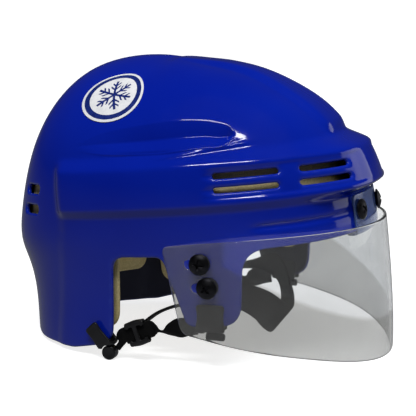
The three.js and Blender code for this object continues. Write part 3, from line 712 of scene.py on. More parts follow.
def plate(points, normals, cut, edge, thick=None, wrap=False, power=2.3, rows=6, pole=None, extra=None):
    """A closed sheet with rolled edges, as (points, faces, normals, attributes).

    points and normals are a grid of the outer face, and cut is how far each point lies beyond
    the outline. edge is the thickness at the outline, and thick the thickness of each point.
    """
    extra = extra or {}
    facing = np.cross(differences(points, wrap), np.gradient(points, axis=1))
    if (facing * normals).sum() < 0:
        points, normals, cut = points[::-1], normals[::-1], cut[::-1]
        thick = None if thick is None else thick[::-1]
        extra = {key: value[::-1] for key, value in extra.items()}
    nu, nv = cut.shape
    half = edge / 2
    slopes = surface_gradient(points, cut, wrap).reshape(-1, 3)
    level = cut.ravel() + half
    steep = np.maximum(np.linalg.norm(slopes, axis=1), 1e-6)
    spans = [np.linalg.norm(differences(points, wrap), axis=-1),
             np.linalg.norm(np.gradient(points, axis=1), axis=-1)]
    spacing = np.minimum(*spans).ravel()
    points = points.reshape(-1, 3).copy()
    normals = normals.reshape(-1, 3)
    off = level / steep
    near = np.abs(off) < 0.33 * spacing
    points[near] -= (off / steep)[near, None] * slopes[near]
    level = np.where(near, 0, level)
    depth = np.full(len(points), edge) if thick is None else thick.ravel()
    values = {key: value.ravel() for key, value in extra.items()}
    packed = np.concatenate([normals, depth[:, None]] + [v[:, None] for v in values.values()], 1)
    triangles = grid_triangles(nu, nv, wrap)
    points, packed, slopes, faces = clipped(points, packed, slopes, level, triangles)
    normals = unit(packed[:, :3])
    depth = packed[:, 3]
    if pole is not None:
        top = len(points)
        points = np.concatenate([points, [pole[0]]])
        normals = np.concatenate([normals, [pole[1]]])
        slopes = np.concatenate([slopes, [[1, 0, 0]]])
        packed = np.concatenate([packed, packed[-1:]])
        depth = np.append(depth, edge)
        faces += [[i * nv + nv - 1, (i + 1) % nu * nv + nv - 1, top] for i in range(nu)]
    used = np.unique(np.concatenate([np.array(f) for f in faces]))
    number = np.full(len(points), -1)
    number[used] = np.arange(len(used))
    faces = [[int(number[k]) for k in face] for face in faces]
    points, normals, slopes, depth, packed = (a[used] for a in (points, normals, slopes, depth, packed))
    return roll_edges(points, normals, slopes, depth, faces, half, power, rows, packed, list(values))


def roll_edges(points, normals, slopes, depth, faces, half, power, rows, packed, names):
    """Adds the inner face and the rolled edge that joins it to the outer one."""
    count = len(points)
    rim = open_edges(faces)
    ring = sorted({a for edge in rim for a in edge})
    place = {v: k for k, v in enumerate(ring)}
    outward = unit(slopes[ring] - (slopes[ring] * normals[ring]).sum(1)[:, None] * normals[ring])
    all_points = [points, points - normals * depth[:, None]]
    all_normals = [normals, -normals]
    for row in range(1, rows):
        turn = math.pi * row / rows
        s, c = math.sin(turn), math.cos(turn)
        reach = half * abs(s) ** (2 / power)
        level = half * (1 - math.copysign(abs(c) ** (2 / power), c))
        all_points.append(points[ring] + outward * reach - normals[ring] * level)
        upright = math.copysign(abs(c) ** (2 - 2 / power), c)
        lean = outward * abs(s) ** (2 - 2 / power) + normals[ring] * upright
        all_normals.append(unit(lean))
    solid = [list(face) for face in faces]
    solid += [[v + count for v in reversed(face)] for face in faces]
    rows_at = [ring]
    for k in range(rows - 1):
        first = 2 * count + k * len(ring)
        rows_at.append(list(range(first, first + len(ring))))
    rows_at.append([v + count for v in ring])
    for upper, lower in zip(rows_at[:-1], rows_at[1:]):
        for a, b in rim:
            i, j = place[a], place[b]
            solid.append([upper[j], upper[i], lower[i], lower[j]])
    inside = [np.zeros(count), np.ones(count)]
    inside += [np.full(len(ring), row / rows) for row in range(1, rows)]
    attributes = {"inside": np.concatenate(inside)}
    for k, name in enumerate(names):
        column = packed[:, 4 + k]
        attributes[name] = np.concatenate([column, column] + [column[ring]] * (rows - 1))
    return np.concatenate(all_points), solid, np.concatenate(all_normals), attributes


def edge_share(cut, reach):
    """1 at the outline, falling to 0 at reach inside it."""
    return np.clip(cut / reach + 1, 0, 1)


# ---- shell ----
def curve_points(start, pull, end, count=8):
    """A quadratic arc from start to end, without its first point."""
    ts = np.arange(1, count + 1) / count
    a, b, c = (np.array(p, float) for p in (start, pull, end))
    return [tuple((1 - t) ** 2 * a + 2 * t * (1 - t) * b + t * t * c) for t in ts]


def rim_outline():
    """Side outline of what lies below the rim: rear lobe, ear opening, front lobe, brow."""
    path = [(-120, -56), (-94, -58.5)]
    path += curve_points(path[-1], (-84, -63), (-74, -63.6))
    path += [(-50, -62.8), (-33, -58.6)]
    path += curve_points(path[-1], (-26.4, -56.5), (-26.2, -49))
    path += [(-24.9, -21)]
    path += curve_points(path[-1], (-24.4, -14.6), (-18, -14.2))
    path += [(-3, -13.1)]
    path += curve_points(path[-1], (0.6, -12.9), (2, -17))
    path += [(10.8, -41.5)]
    path += curve_points(path[-1], (12, -44.8), (16, -44.6))
    path += [(29, -43.7)]
    path += curve_points(path[-1], (37, -42.6), (37.4, -33))
    path += [(37.9, -18)]
    path += curve_points(path[-1], (38.6, -7.2), (51, -6.4))
    path += [(84, -2.8), (120, -1.5)]
    return path


def beyond_rim(x, z):
    """How far a point of the side view lies below the rim outline."""
    path = rim_outline()
    distance = distance_to_path(x, z, path)
    crossings = np.zeros(np.shape(x), int)
    for (ax, az), (bx, bz) in zip(path[:-1], path[1:]):
        if ax == bx:
            continue
        spans = (np.minimum(ax, bx) <= x) & (x < np.maximum(ax, bx))
        above = az + (x - ax) * (bz - az) / (bx - ax) > z
        crossings += spans & above
    return np.where(crossings % 2 == 1, distance, -distance)


def slot_cut(angle, w, slots):
    """How far a point lies inside the nearest slot."""
    arc = arc_at(angle)
    best = np.full(arc.shape, -1e3)
    for start, end, middle, half in slots:
        first, last = arc_at(start) + half, arc_at(end) - half
        along = arc - np.clip(arc, first, last)
        best = np.maximum(best, half - np.hypot(along, w - middle))
    return best


def wall_point(x, z, side):
    """The shell's outer face at a place of the side view."""
    w = -x * math.sin(NOSE_UP) + z * math.cos(NOSE_UP)
    low, high = math.radians(1), math.radians(179)
    for _ in range(40):
        middle = (low + high) / 2
        p = placed(shell_point(np.array([middle]), rise_at([middle], w)))[0]
        if p[0] - FRAME_X > x:
            low = middle
        else:
            high = middle
    p = placed(shell_point(np.array([low]), rise_at([low], w)))[0]
    return np.array([p[0], p[1] * side, p[2]])


def brow_heading(y):
    """Heading at which the brow wall is y to the side."""
    low, high = 0.0, math.radians(60)
    for _ in range(40):
        middle = (low + high) / 2
        if shell_point(np.array([middle]), rise_at([middle], 0.0))[0][1] < y:
            low = middle
        else:
            high = middle
    return low


def visor_screw_axes():
    """(base, axis, name) of the four visor screws."""
    axes = []
    for side, name in ((1, "left"), (-1, "right")):
        for (x, z), level in zip(VISOR_SCREWS, ("upper", "lower")):
            axes.append((wall_point(x, z, side), np.array([0.0, side, 0.0]), f"{name}_{level}"))
    return axes


def bracket_screw_axes():
    axes = []
    y, z = BRACKET_SCREW
    w = z - 8
    for side, name in ((1, "left"), (-1, "right")):
        heading = np.array([brow_heading(y) * side])
        rise = rise_at(heading, w)
        base = placed(shell_point(heading, rise))[0]
        axes.append((base, turned_level(dome_normal(heading, rise))[0], name))
    return axes


VISOR_AXES = visor_screw_axes()
BRACKET_AXES = bracket_screw_axes()


def uneven(stops):
    """Values from stop to stop with a step for each stretch: [(value, step after it), ...]."""
    values = []
    for (start, step), (end, _) in zip(stops[:-1], stops[1:]):
        count = max(1, round((end - start) / step))
        values += [start + (end - start) * k / count for k in range(count)]
    return np.array(values + [stops[-1][0]])


def shell_grid():
    """Headings and elevations of the shell's grid; its rows follow the scoop's lips."""
    half = uneven([(0, 1.5), (10, 0.82), (64, 1.0), (112, 1.5), (139, 0.9), (155, 1.8), (180, 1)])
    headings = np.radians(np.concatenate([half, -half[-2:0:-1]]))[:, None]
    below = uneven([(-66, 1.8), (-14, 1.1), (5, 0.65), (30, 1)])[:-1]
    foot, top = scoop_span(dome_point(headings, rise_at(headings, 42.0))[..., 0])
    crease = mix(foot, top, SCOOP_CREASE)
    level = np.zeros_like(foot)
    stops = [level + 30, foot - 1.8, foot - 0.4, crease, top - 0.8, top + 0.4, level + 53, level + 62]
    rows = [np.broadcast_to(below, (len(headings), len(below)))]
    for start, end, count in zip(stops, stops[1:], (8, 5, 8, 8, 5, 7, 6)):
        rows.append(mix(start, end, np.arange(count)[None, :] / count))
    rises = rise_at(headings, np.concatenate(rows, 1))
    last = rises[:, -1:]
    crown = mix(last, math.radians(89.2), np.linspace(0, 1, 25)[None, 1:])
    rises = np.concatenate([rises, crown], 1)
    return headings + 0 * rises, rises


def shell_piece():
    headings, rises = shell_grid()
    level = shell_point(headings, rises)
    normals = turned_level(surface_normal(shell_point, headings, rises))
    points = placed(level)
    base = dome_point(headings, rises)
    angle = degrees_off(headings)
    cut = np.full(angle.shape, -30.0)
    low = points[..., 2] < FRAME_Z + 8
    cut[low] = beyond_rim(points[..., 0][low] - FRAME_X, points[..., 2][low] - FRAME_Z)
    cut = np.maximum(cut, slot_cut(angle, base[..., 2], SIDE_SLOTS + REAR_SLOTS))
    for origin, axis, _ in VISOR_AXES + BRACKET_AXES:
        away = points - origin
        along = away @ axis
        radial = np.linalg.norm(away - along[..., None] * axis, axis=-1)
        cut = np.where(np.abs(along) < 6, np.maximum(cut, BORE_R - radial), cut)
    top = placed(shell_point(np.array([0.0]), np.array([math.radians(90)])))[0]
    pole = (top, np.array([-math.sin(NOSE_UP), 0, math.cos(NOSE_UP)]))
    made = plate(points, normals, cut, WALL, wrap=True, pole=pole, extra={"edge": edge_share(cut, 6)})
    piece = new_object("shell_skin", *made)
    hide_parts("shell")
    return dressed(piece, "shell_plastic", "helmet")


# ---- liner ----
def rounded_box(a, b, half_a, half_b, corner):
    """How far a point lies beyond a rectangle with rounded corners."""
    qa = np.abs(a) - (half_a - corner)
    qb = np.abs(b) - (half_b - corner)
    outside = np.hypot(np.maximum(qa, 0), np.maximum(qb, 0))
    return outside + np.minimum(np.maximum(qa, qb), 0) - corner


def crowned(cut, edge, middle, run):
    """Thickness that swells from edge at the outline to middle, run further in."""
    return edge + (middle - edge) * smooth(0, run, -cut - edge / 2)


def dents(points, depth):
    """Gentle unevenness of hand-cut foam."""
    x, y, z = (points[..., k] for k in range(3))
    return depth * (np.sin(0.19 * x + 0.5) * np.sin(0.23 * z + 1.1) + 0.5 * np.sin(0.31 * y + 0.4))


def foam_piece(name, points, normals, cut, replaced):
    thick = crowned(cut, 1.7, PAD_THICK + 0.5, 7) + dents(points, 0.12) * smooth(0, 5, -cut)
    solid = plate(points, normals, cut, 1.7, thick=thick, power=2.6, rows=5)
    piece = new_object(name, solid[0], solid[1])
    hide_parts(replaced)
    return dressed(piece, "liner_foam", "helmet")


def pad_piece(name, headings, heights, air, sweep=0):
    """A foam pad glued inside the shell between two headings and two level heights."""
    start, end = headings
    low, high = heights
    angles = np.radians(np.abs(np.linspace(start, end, 40)))
    middle = dome_point(angles, rise_at(angles, (low + high) / 2))
    wide = np.linalg.norm(np.diff(middle, axis=0), axis=1).sum()
    tall = high - low
    margin = 2.5
    a = np.linspace(-wide / 2 - margin, wide / 2 + margin, round((wide + 5) / 1.3))[:, None]
    b = np.linspace(-tall / 2 - margin, tall / 2 + margin, round((tall + 5) / 1.3))[None, :]
    a, b = np.broadcast_arrays(a, b)
    u = a / wide + 0.5
    w = b + (low + high) / 2
    lean = sweep * np.maximum(0, EAR_TOP - w) * (1 - u)
    heading = np.radians(mix(start, end, u) + lean)
    rise = rise_at(heading, w)
    normal = dome_normal(heading, rise)
    points = placed(dome_point(heading, rise) - normal * (WALL + air))
    cut = rounded_box(a, b, wide / 2, tall / 2, 7.0)
    return foam_piece(name + "_foam", points, turned_level(normal), cut, name)


def crown_pad_piece():
    reach = math.radians(30)
    size = 34.0
    a = np.linspace(-1.08, 1.08, 58)
    a, b = np.meshgrid(a, a, indexing="ij")
    far = np.hypot(a, b)
    heading = np.arctan2(b, a)
    rise = math.radians(90) - reach * far
    normal = dome_normal(heading, np.minimum(rise, math.radians(89.4)))
    points = placed(dome_point(heading, rise) - normal * (WALL + PAD_AIR))
    cut = (far - 1) * size
    return foam_piece("liner_crown_foam", points, turned_level(normal), cut, "liner_crown")


def liner_pieces():
    pad_piece("liner_front", (-33, 33), (-8, 26), NUT_AIR)
    pad_piece("liner_rear", (136, 224), (-39, 27), PAD_AIR)
    crown_pad_piece()
    for name, side in (("left", 1), ("right", -1)):
        spans = (
            ("side", (36, 105), (-9, 32), PAD_AIR, 0),
            ("nape", (107.5, 130), (-47, 28), PAD_AIR, 0.16),
            ("temple", (56, 80), (-31, -12), NUT_AIR, 0),
        )
        for place, (start, end), heights, air, sweep in spans:
            ends = (start, end) if side > 0 else (-start, -end)
            pad_piece(f"liner_{place}_{name}", ends, heights, air, sweep * side)


# ---- visor and bracket ----
def visor_point(s, v):
    """s runs from -1 at the right cheek's end to 1 at the left; v from 0 at the top to 1."""
    cheek = 0.8
    far = np.abs(s)
    front = mix(VISOR_TOP_X, VISOR_LOW_X, np.sin(np.clip(v, 0, 1) * math.pi / 2))
    turn = np.minimum(far / cheek, 1) * math.pi / 2
    back = mix(1.3, 10.8, v)
    straight = mix(VISOR_FLAT_X, back, (far - cheek) / (1 - cheek))
    x = np.where(far < cheek, VISOR_FLAT_X + (front - VISOR_FLAT_X) * np.cos(turn), straight)
    y = VISOR_HALF * np.sin(turn)
    z = mix(visor_top(x), visor_foot(x), v)
    return np.stack([x + FRAME_X, y * np.sign(s + 1e-12), z + FRAME_Z], -1)


def visor_top(x):
    return -7.6 + 0.172 * x - 0.0009 * x * x


def visor_foot(x):
    return -45.2 - 0.176 * x - 3.25 * np.maximum(0, (x - 60) / 34) ** 2


def visor_piece():
    half = uneven([(0, 0.009), (0.8, 0.022), (1.03, 1)])
    s = np.concatenate([-half[::-1], half[1:]])[:, None]
    v = uneven([(-0.06, 0.013), (1.06, 1)])[::-1][None, :]
    s, v = np.broadcast_arrays(s, v)
    points = visor_point(s, v)
    step = 1e-3
    across = visor_point(s + step, v) - visor_point(s - step, v)
    down = visor_point(s, v + step) - visor_point(s, v - step)
    normals = unit(np.cross(down, across))
    x = points[..., 0] - FRAME_X
    z = points[..., 2] - FRAME_Z
    above = z - visor_top(x)
    below = visor_foot(x) - z
    behind = -((x - 1.3) * 0.972 + (z + 7.4) * 0.235)
    cut = np.maximum(soft_max(above, behind, 1.4), soft_max(below, behind, 3.5))
    for base, axis, _ in VISOR_AXES:
        run = np.array([math.cos(NOSE_UP), 0, math.sin(NOSE_UP)])
        away = points - base
        along = np.clip(away @ run, -SLOT_TRAVEL, 0)
        gap = away - along[..., None] * run
        inside = SLOT_HALF - np.hypot(gap[..., 0], gap[..., 2])
        cut = np.where(points[..., 1] * axis[1] > 50, np.maximum(cut, inside), cut)
    # Painted reflection: the sheet is marked for a darker, hazier tint behind and below a reflection edge.
    over_reflection_edge = z - REFLECTION_EDGE_AT[1] + REFLECTION_EDGE_FALL * (x - REFLECTION_EDGE_AT[0])
    painted_reflection = np.maximum(smooth(33, 29, x), smooth(1.5, -1.5, over_reflection_edge))
    extra = {"edge": edge_share(cut, 2.5), "painted_reflection": painted_reflection}
    made = plate(points, normals, cut, VISOR_THICK, power=4, rows=6, extra=extra)
    piece = new_object("visor_sheet", *made)
    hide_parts("visor")
    return dressed(piece, "visor_clear", "visor")


def bent_path(corners, radii, step=0.6):
    """Points and left-hand normals along a path of straight runs joined by round bends."""
    points, normals = [], []
    corners = [np.array(c, float) for c in corners]

    def run(a, b):
        count = max(1, round(np.linalg.norm(b - a) / step))
        d = (b - a) / max(np.linalg.norm(b - a), 1e-9)
        for k in range(count):
            points.append(a + (b - a) * k / count)
            normals.append((-d[1], d[0]))

    start = corners[0]
    for previous, corner, following, radius in zip(corners, corners[1:], corners[2:], radii):
        d1 = (corner - previous) / np.linalg.norm(corner - previous)
        d2 = (following - corner) / np.linalg.norm(following - corner)
        turn = math.atan2(d1[0] * d2[1] - d1[1] * d2[0], d1 @ d2)
        cut = radius * math.tan(abs(turn) / 2)
        enter = corner - d1 * cut
        run(start, enter)
        side = 1 if turn > 0 else -1
        centre = enter + side * radius * np.array([-d1[1], d1[0]])
        count = max(3, round(abs(turn) * radius / (step * 0.6)))
        for k in range(count):
            a = math.atan2(enter[1] - centre[1], enter[0] - centre[0]) + turn * k / count
            arm = np.array([math.cos(a), math.sin(a)])
            points.append(centre + radius * arm)
            normals.append(tuple(-side * arm))
        start = corner + d2 * cut
    run(start, corners[-1])
    d = (corners[-1] - start) / np.linalg.norm(corners[-1] - start)
    points.append(corners[-1])
    normals.append((-d[1], d[0]))
    return np.array(points), np.array(normals)


def bracket_piece():
    """Tinted plate over the brow wall whose foot hooks under the rim."""
    path, lean = bent_path([(1.7, 6.9), (1.7, -13.1), (-6.1, -13.1)], [2.9])
    lengths = np.concatenate([[0], np.cumsum(np.linalg.norm(np.diff(path, axis=0), axis=1))])
    angles = np.linspace(0, math.radians(30), 120)
    ys = shell_point(angles, rise_at(angles, 0.0))[:, 1]
    y = np.linspace(-BRACKET_HALF - 0.9, BRACKET_HALF + 0.9, 62)
    heading = np.interp(np.abs(y), ys, angles) * np.sign(y)
    order = slice(None, None, -1)
    heading, w = np.meshgrid(heading, path[order, 1], indexing="ij")
    rise = rise_at(heading, np.maximum(w, -11))
    out = unit(dome_normal(heading, rise) * np.array([1, 1, 0]))
    p = dome_point(heading, rise)
    p[..., 2] = w
    p = p + out * path[order, 0][None, :, None]
    sign = -1 if lean[0][0] < 0 else 1
    normal = out * (sign * lean[order, 0])[None, :, None]
    normal[..., 2] += (sign * lean[order, 1])[None, :]
    across = np.broadcast_to(y[:, None], w.shape)
    along = np.broadcast_to(lengths[order][None, :], w.shape)
    middle = lengths[-1] / 2
    cut = rounded_box(across, along - middle, BRACKET_HALF, middle - 0.9, 2.6)
    points = placed(p)
    for origin, axis, _ in BRACKET_AXES:
        away = points - origin
        radial = np.linalg.norm(away - (away @ axis)[..., None] * axis, axis=-1)
        cut = np.maximum(cut, BORE_R - radial)
    normals = turned_level(unit(normal))
    extra = {"edge": edge_share(cut, 2)}
    made = plate(points, normals, cut, BRACKET_THICK, power=4, rows=6, extra=extra)
    piece = new_object("visor_bracket_plate", *made)
    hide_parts("visor_bracket")
    return dressed(piece, "bracket_plastic", "helmet")


# ---- screws, spacers and nuts ----
def basis(axis):
    """Two directions square to an axis, the first as near upright as can be."""
    axis = np.asarray(axis, float)
    e1 = np.array([0.0, 0.0, 1.0]) - axis * axis[2]
    e1 = e1 / np.linalg.norm(e1)
    return np.cross(e1, axis), e1


def revolved(name, base, axis, profile, sides, press=None, open_ends=True):
    """A turned piece from (radius, height) pairs; press lowers points of the first rings."""
    e2, e1 = basis(axis)
    points, faces, rings = [], [], []
    for r, h in profile:
        if r == 0 and open_ends:
            drop = press(0.0, 0.0, h) if press else 0
            rings.append([len(points)])
            points.append(base + axis * (h - drop))
            continue
        ring = []
        for k in range(sides):
            a = 2 * math.pi * k / sides
            u, v = r * math.cos(a), r * math.sin(a)
            drop = press(u, v, h) if press else 0
            ring.append(len(points))
            points.append(base + e1 * u + e2 * v + axis * (h - drop))
        rings.append(ring)
    loops = list(zip(rings[:-1], rings[1:]))
    if not open_ends:
        loops.append((rings[-1], rings[0]))
    for upper, lower in loops:
        for k in range(sides):
            n = (k + 1) % sides
            if len(upper) == 1:
                faces.append([upper[0], lower[k], lower[n]])
            elif len(lower) == 1:
                faces.append([upper[n], upper[k], lower[0]])
            else:
                faces.append([upper[n], upper[k], lower[k], lower[n]])
    return new_object(name, np.array(points), faces)


def cross_recess(turned_by):
    """Depth of a cross-head recess at a place on the head, turned by an angle."""
    c, s = math.cos(turned_by), math.sin(turned_by)

    def arm(across, along):
        side = 1 - float(smooth(0.34, 0.62, abs(across)))
        end = 1 - float(smooth(1.9, 2.75, abs(along)))
        return side * end

    def drop(u, v, h):
        a, b = u * c + v * s, v * c - u * s
        depth = 0.9 + 0.7 * (1 - float(smooth(0, 2.4, math.hypot(u, v))))
        return depth * max(arm(a, b), arm(b, a)) if h > 0 else 0

    return drop


def screw_piece(node, base, axis, under, tip, turned_by):
    """A truss-head screw: shallow dome, thin rounded edge, cross recess, plain shank."""
    rounding = 0.45
    dome = SCREW_HEAD_R - rounding
    recessed = 3.4
    radii = [recessed * k / 33 for k in range(34)]
    radii += [recessed + (dome - recessed) * k / 6 for k in range(1, 7)]
    profile = [(r, under + 2.5 - 1.45 * (r / dome) ** 2) for r in radii]
    for k in range(1, 7):
        a = math.pi * k / 6
        profile.append((dome + rounding * math.sin(a), under + 0.575 + 0.475 * math.cos(a)))
    profile += [(SHANK_R + 0.3, under + 0.1), (SHANK_R, under - 0.2), (SHANK_R, tip + 0.5)]
    profile += [(SHANK_R - 0.45, tip), (0, tip)]
    piece = revolved(node + "_head", base, axis, profile, 72, press=cross_recess(turned_by))
    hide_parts(node)
    return dressed(piece, "screw_black", "helmet")


def ring_piece(node, base, axis, outer, start, end, slot):
    """A flat ring with softened corners."""
    inner = SHANK_R + 0.2
    soft = 0.28
    corners = [(inner, end, 90), (inner, start, 180), (outer, start, 270), (outer, end, 0)]
    profile = []
    for r, h, first in corners:
        inward = 1 if r == inner else -1
        away = 1 if h == start else -1
        for k in range(5):
            a = math.radians(first + 90 * k / 4)
            across = r + soft * (inward + math.cos(a))
            profile.append((across, h + soft * (away + math.sin(a))))
    piece = revolved(node + "_ring", base, axis, profile[::-1], 48, open_ends=False)
    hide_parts(node)
    return dressed(piece, slot, "helmet")


def fastener_pieces():
    turns = (0.5, 1.1, 0.15, 0.9)
    for (base, axis, name), turned_by in zip(VISOR_AXES, turns):
        reach = VISOR_HALF - abs(base[1])
        screw_piece(f"visor_screw_{name}", base, axis, reach + 0.15, -WALL - 1.85, turned_by)
        spacer_end = reach - VISOR_THICK - 0.3
        ring_piece(f"visor_spacer_{name}", base, axis, SPACER_R, SPACER_AIR, spacer_end, "spacer_rubber")
        ring_piece(f"visor_nut_{name}", base, axis, NUT_R, *NUT_AT, "nut_steel")
    for (base, axis, name), turned_by in zip(BRACKET_AXES, (0.3, 0.75)):
        screw_piece(f"bracket_screw_{name}", base, axis, 2.0, -4.2, turned_by)
        ring_piece(f"bracket_nut_{name}", base, axis, NUT_R, *NUT_AT, "nut_steel")


# ---- clips ----
CLIPS = {
    "front": dict(at=(23.5, -44.2), lean=0.0, width=13.4, climb=11.0, knob=(25.4, -48.6)),
    "rear": dict(at=(-30.0, -57.1), lean=math.radians(42.7), width=8.0, climb=11.0, knob=(-28.2, -61.5)),
}


def clip_frame(clip, side):
    """Origin on the wall and the outward, upward and sideways directions of a clip."""
    (x, z), lean = clip["at"], clip["lean"]
    edge = wall_point(x, z + 3, side)
    along = wall_point(x + 3, z + 3, side) - wall_point(x - 3, z + 3, side)
    draft = wall_point(x, z + 9, side) - edge
    out = unit(np.cross(along, draft))
    if out[1] * side < 0:
        out = -out
    up = np.array([-math.sin(lean), 0, math.cos(lean)])
    up = unit(up - out * (up @ out))
    return np.array([x + FRAME_X, edge[1], z + FRAME_Z]), out, up, np.cross(up, out)


def clip_piece(place, clip, side, name):
    """A moulded strip folded round the rim: long leg outside, short leg inside."""
    origin, out, up, across = clip_frame(clip, side)
    half = clip["width"] / 2
    outer = 0.9 + CLIP_THICK
    inner = -(WALL + 1.1 + CLIP_THICK)
    top = clip["climb"] + 0.6
    corners = [(outer, top), (outer, -3.0), (inner, -3.0), (inner, top - 3)]
    path, lean = bent_path(corners, [2.6, 2.6], 0.45)
    lengths = np.concatenate([[0], np.cumsum(np.linalg.norm(np.diff(path, axis=0), axis=1))])
    a = np.linspace(-half - 0.7, half + 0.7, round((2 * half + 1.4) / 0.42))
    across_by = np.broadcast_to(a[:, None], (len(a), len(path)))
    outward = np.broadcast_to(path[None, :, 0], across_by.shape)
    height = np.broadcast_to(path[None, :, 1], across_by.shape)
    waist = 1 - 0.1 * smooth(0, 5, height) * smooth(11, 6, height) * (outward > 0)
    hollow = 0.25 * (1 - (across_by / half) ** 2) * smooth(1, 9, height) * (outward > 0)
    points = origin + across * (across_by * waist)[..., None] + out * (outward - hollow)[..., None]
    points = points + up * height[..., None]
    normal = out * lean[None, :, 0, None] + up * lean[None, :, 1, None]
    normal = np.broadcast_to(normal, points.shape)
    middle = lengths[-1] / 2
    cut = rounded_box(across_by, lengths[None, :] - middle, half, middle - 0.6, 1.6)
    knob = np.array([clip["knob"][0] + FRAME_X, 0, clip["knob"][1] + FRAME_Z])
    away = points - knob
    if place == "rear":
        hole = 3.8 - np.hypot(away[..., 0], away[..., 2])
    else:
        hole = -rounded_box(away[..., 0], away[..., 2], 4.9, 2.2, 1.2)
    cut = np.maximum(cut, hole)
    made = plate(points, normal, cut, CLIP_THICK, power=3, rows=5, extra={"edge": edge_share(cut, 1.5)})
    node = f"clip_{place}_{name}"
    piece = new_object(node + "_moulding", *made)
    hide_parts(node)
    return dressed(piece, "clip_plastic", "helmet")


def knob_piece(place, clip, side, name):
    """The button of a rear clip, with a dished face, or the cross bar of a front one."""
    origin = clip_frame(clip, side)[0]
    centre = np.array([clip["knob"][0] + FRAME_X, origin[1] - 1.1 * side, clip["knob"][1] + FRAME_Z])
    if place == "rear":
        axis = np.array([0.0, side, 0.0])
        profile = [(0, 2.0), (1.2, 2.02), (2.1, 2.2), (2.6, 2.38), (2.95, 2.36), (3.25, 2.2), (3.44, 1.95)]
        profile += [(3.5, 1.6), (3.5, -1.6), (3.4, -2.1), (3.1, -2.35), (2.6, -2.4), (0, -2.4)]
    else:
        axis = np.array([1.0, 0.0, 0.0])
        profile = [(0, 4.4), (1.1, 4.38), (1.5, 4.25), (1.74, 3.95), (1.8, 3.6), (1.8, -3.6)]
        profile += [(1.74, -3.95), (1.5, -4.25), (1.1, -4.38), (0, -4.4)]
    node = f"clip_knob_{place}_{name}"
    piece = revolved(node + "_turned", centre, axis, profile, 40)
    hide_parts(node)
    return dressed(piece, "clip_plastic", "helmet")


def clip_pieces():
    for side, name in ((1, "left"), (-1, "right")):
        for place, clip in CLIPS.items():
            clip_piece(place, clip, side, name)
            knob_piece(place, clip, side, name)


# ---- straps ----
def slider_run(along):
    x = SLIDER_AT[0] + along * math.cos(SLIDER_RUN)
    z = SLIDER_AT[1] + along * math.sin(SLIDER_RUN)
    return (x, STRAP_Y, z, 8, SLIDER_RUN, 0)


# Side strap stations: x, y, z, width, climb and twist.
SIDE_ROUTE = [
    (-24.6, 57, -59.6, 3, math.radians(60), 0),
    (-22.4, 57, -56.5, 3.6, math.radians(55), 0),
    slider_run(-7.6),
    slider_run(-2.6),
    slider_run(2.4),
    slider_run(7.4),
    (-4.7, 57, -48.3, 7.4, 0, math.radians(40)),
    (-2.5, 57, -49.1, 7.6, 0, math.radians(70)),
    (0.6, 56.9, -49.3, 8, math.radians(20), math.radians(60)),
    (4, 56.7, -47.9, 9, math.radians(20), math.radians(25)),
    (7.5, 56.5, -46.6, 9.5, math.radians(15), 0),
    (11.5, 56.3, -45.8, 8.5, math.radians(8), 0),
    (15.7, 56.2, -45.3, 7.5, 0, 0),
]

# Chin strap stations for one half: place, direction across the band, and width.
CHIN_HALF = [
    ((-15, 49.4, -48.8), (0, 1, 0.1), 7.4),
    ((-8, 47.6, -43.2), (0, 1, 0.14), 7.8),
    ((0, 47.6, -39.4), (0, 1, 0.2), 9),
    ((8, 46.3, -37.2), (0, 1, 0.34), 9),
    ((16, 42.4, -34.9), (-0.15, 0.9, 0.7), 10),
    ((23.5, 36.5, -34.4), (-0.1, 0.35, 1), 11.5),
    ((30, 28.5, -36.8), (0, 0.1, 1), 13),
    ((35.2, 18.8, -42.5), (0.2, 0, 1), 15),
    ((38.3, 9.3, -49.6), (0.5, 0, 0.85), 16.5),
    ((39.2, 0, -53.4), (0.62, 0, 0.78), 17),
]


def catmull(values, steps):
    """A smooth run through rows of values, with steps between each two."""
    values = np.asarray(values, float)
    padded = np.concatenate([2 * values[:1] - values[1:2], values, 2 * values[-1:] - values[-2:-1]])
    rows = []
    for p0, p1, p2, p3 in zip(padded, padded[1:], padded[2:], padded[3:]):
        for k in range(steps):
            t = k / steps
            rows.append(0.5 * (2 * p1 + (p2 - p0) * t + (2 * p0 - 5 * p1 + 4 * p2 - p3) * t * t
                               + (3 * p1 - p0 - 3 * p2 + p3) * t**3))
    return np.array(rows + [values[-1]])


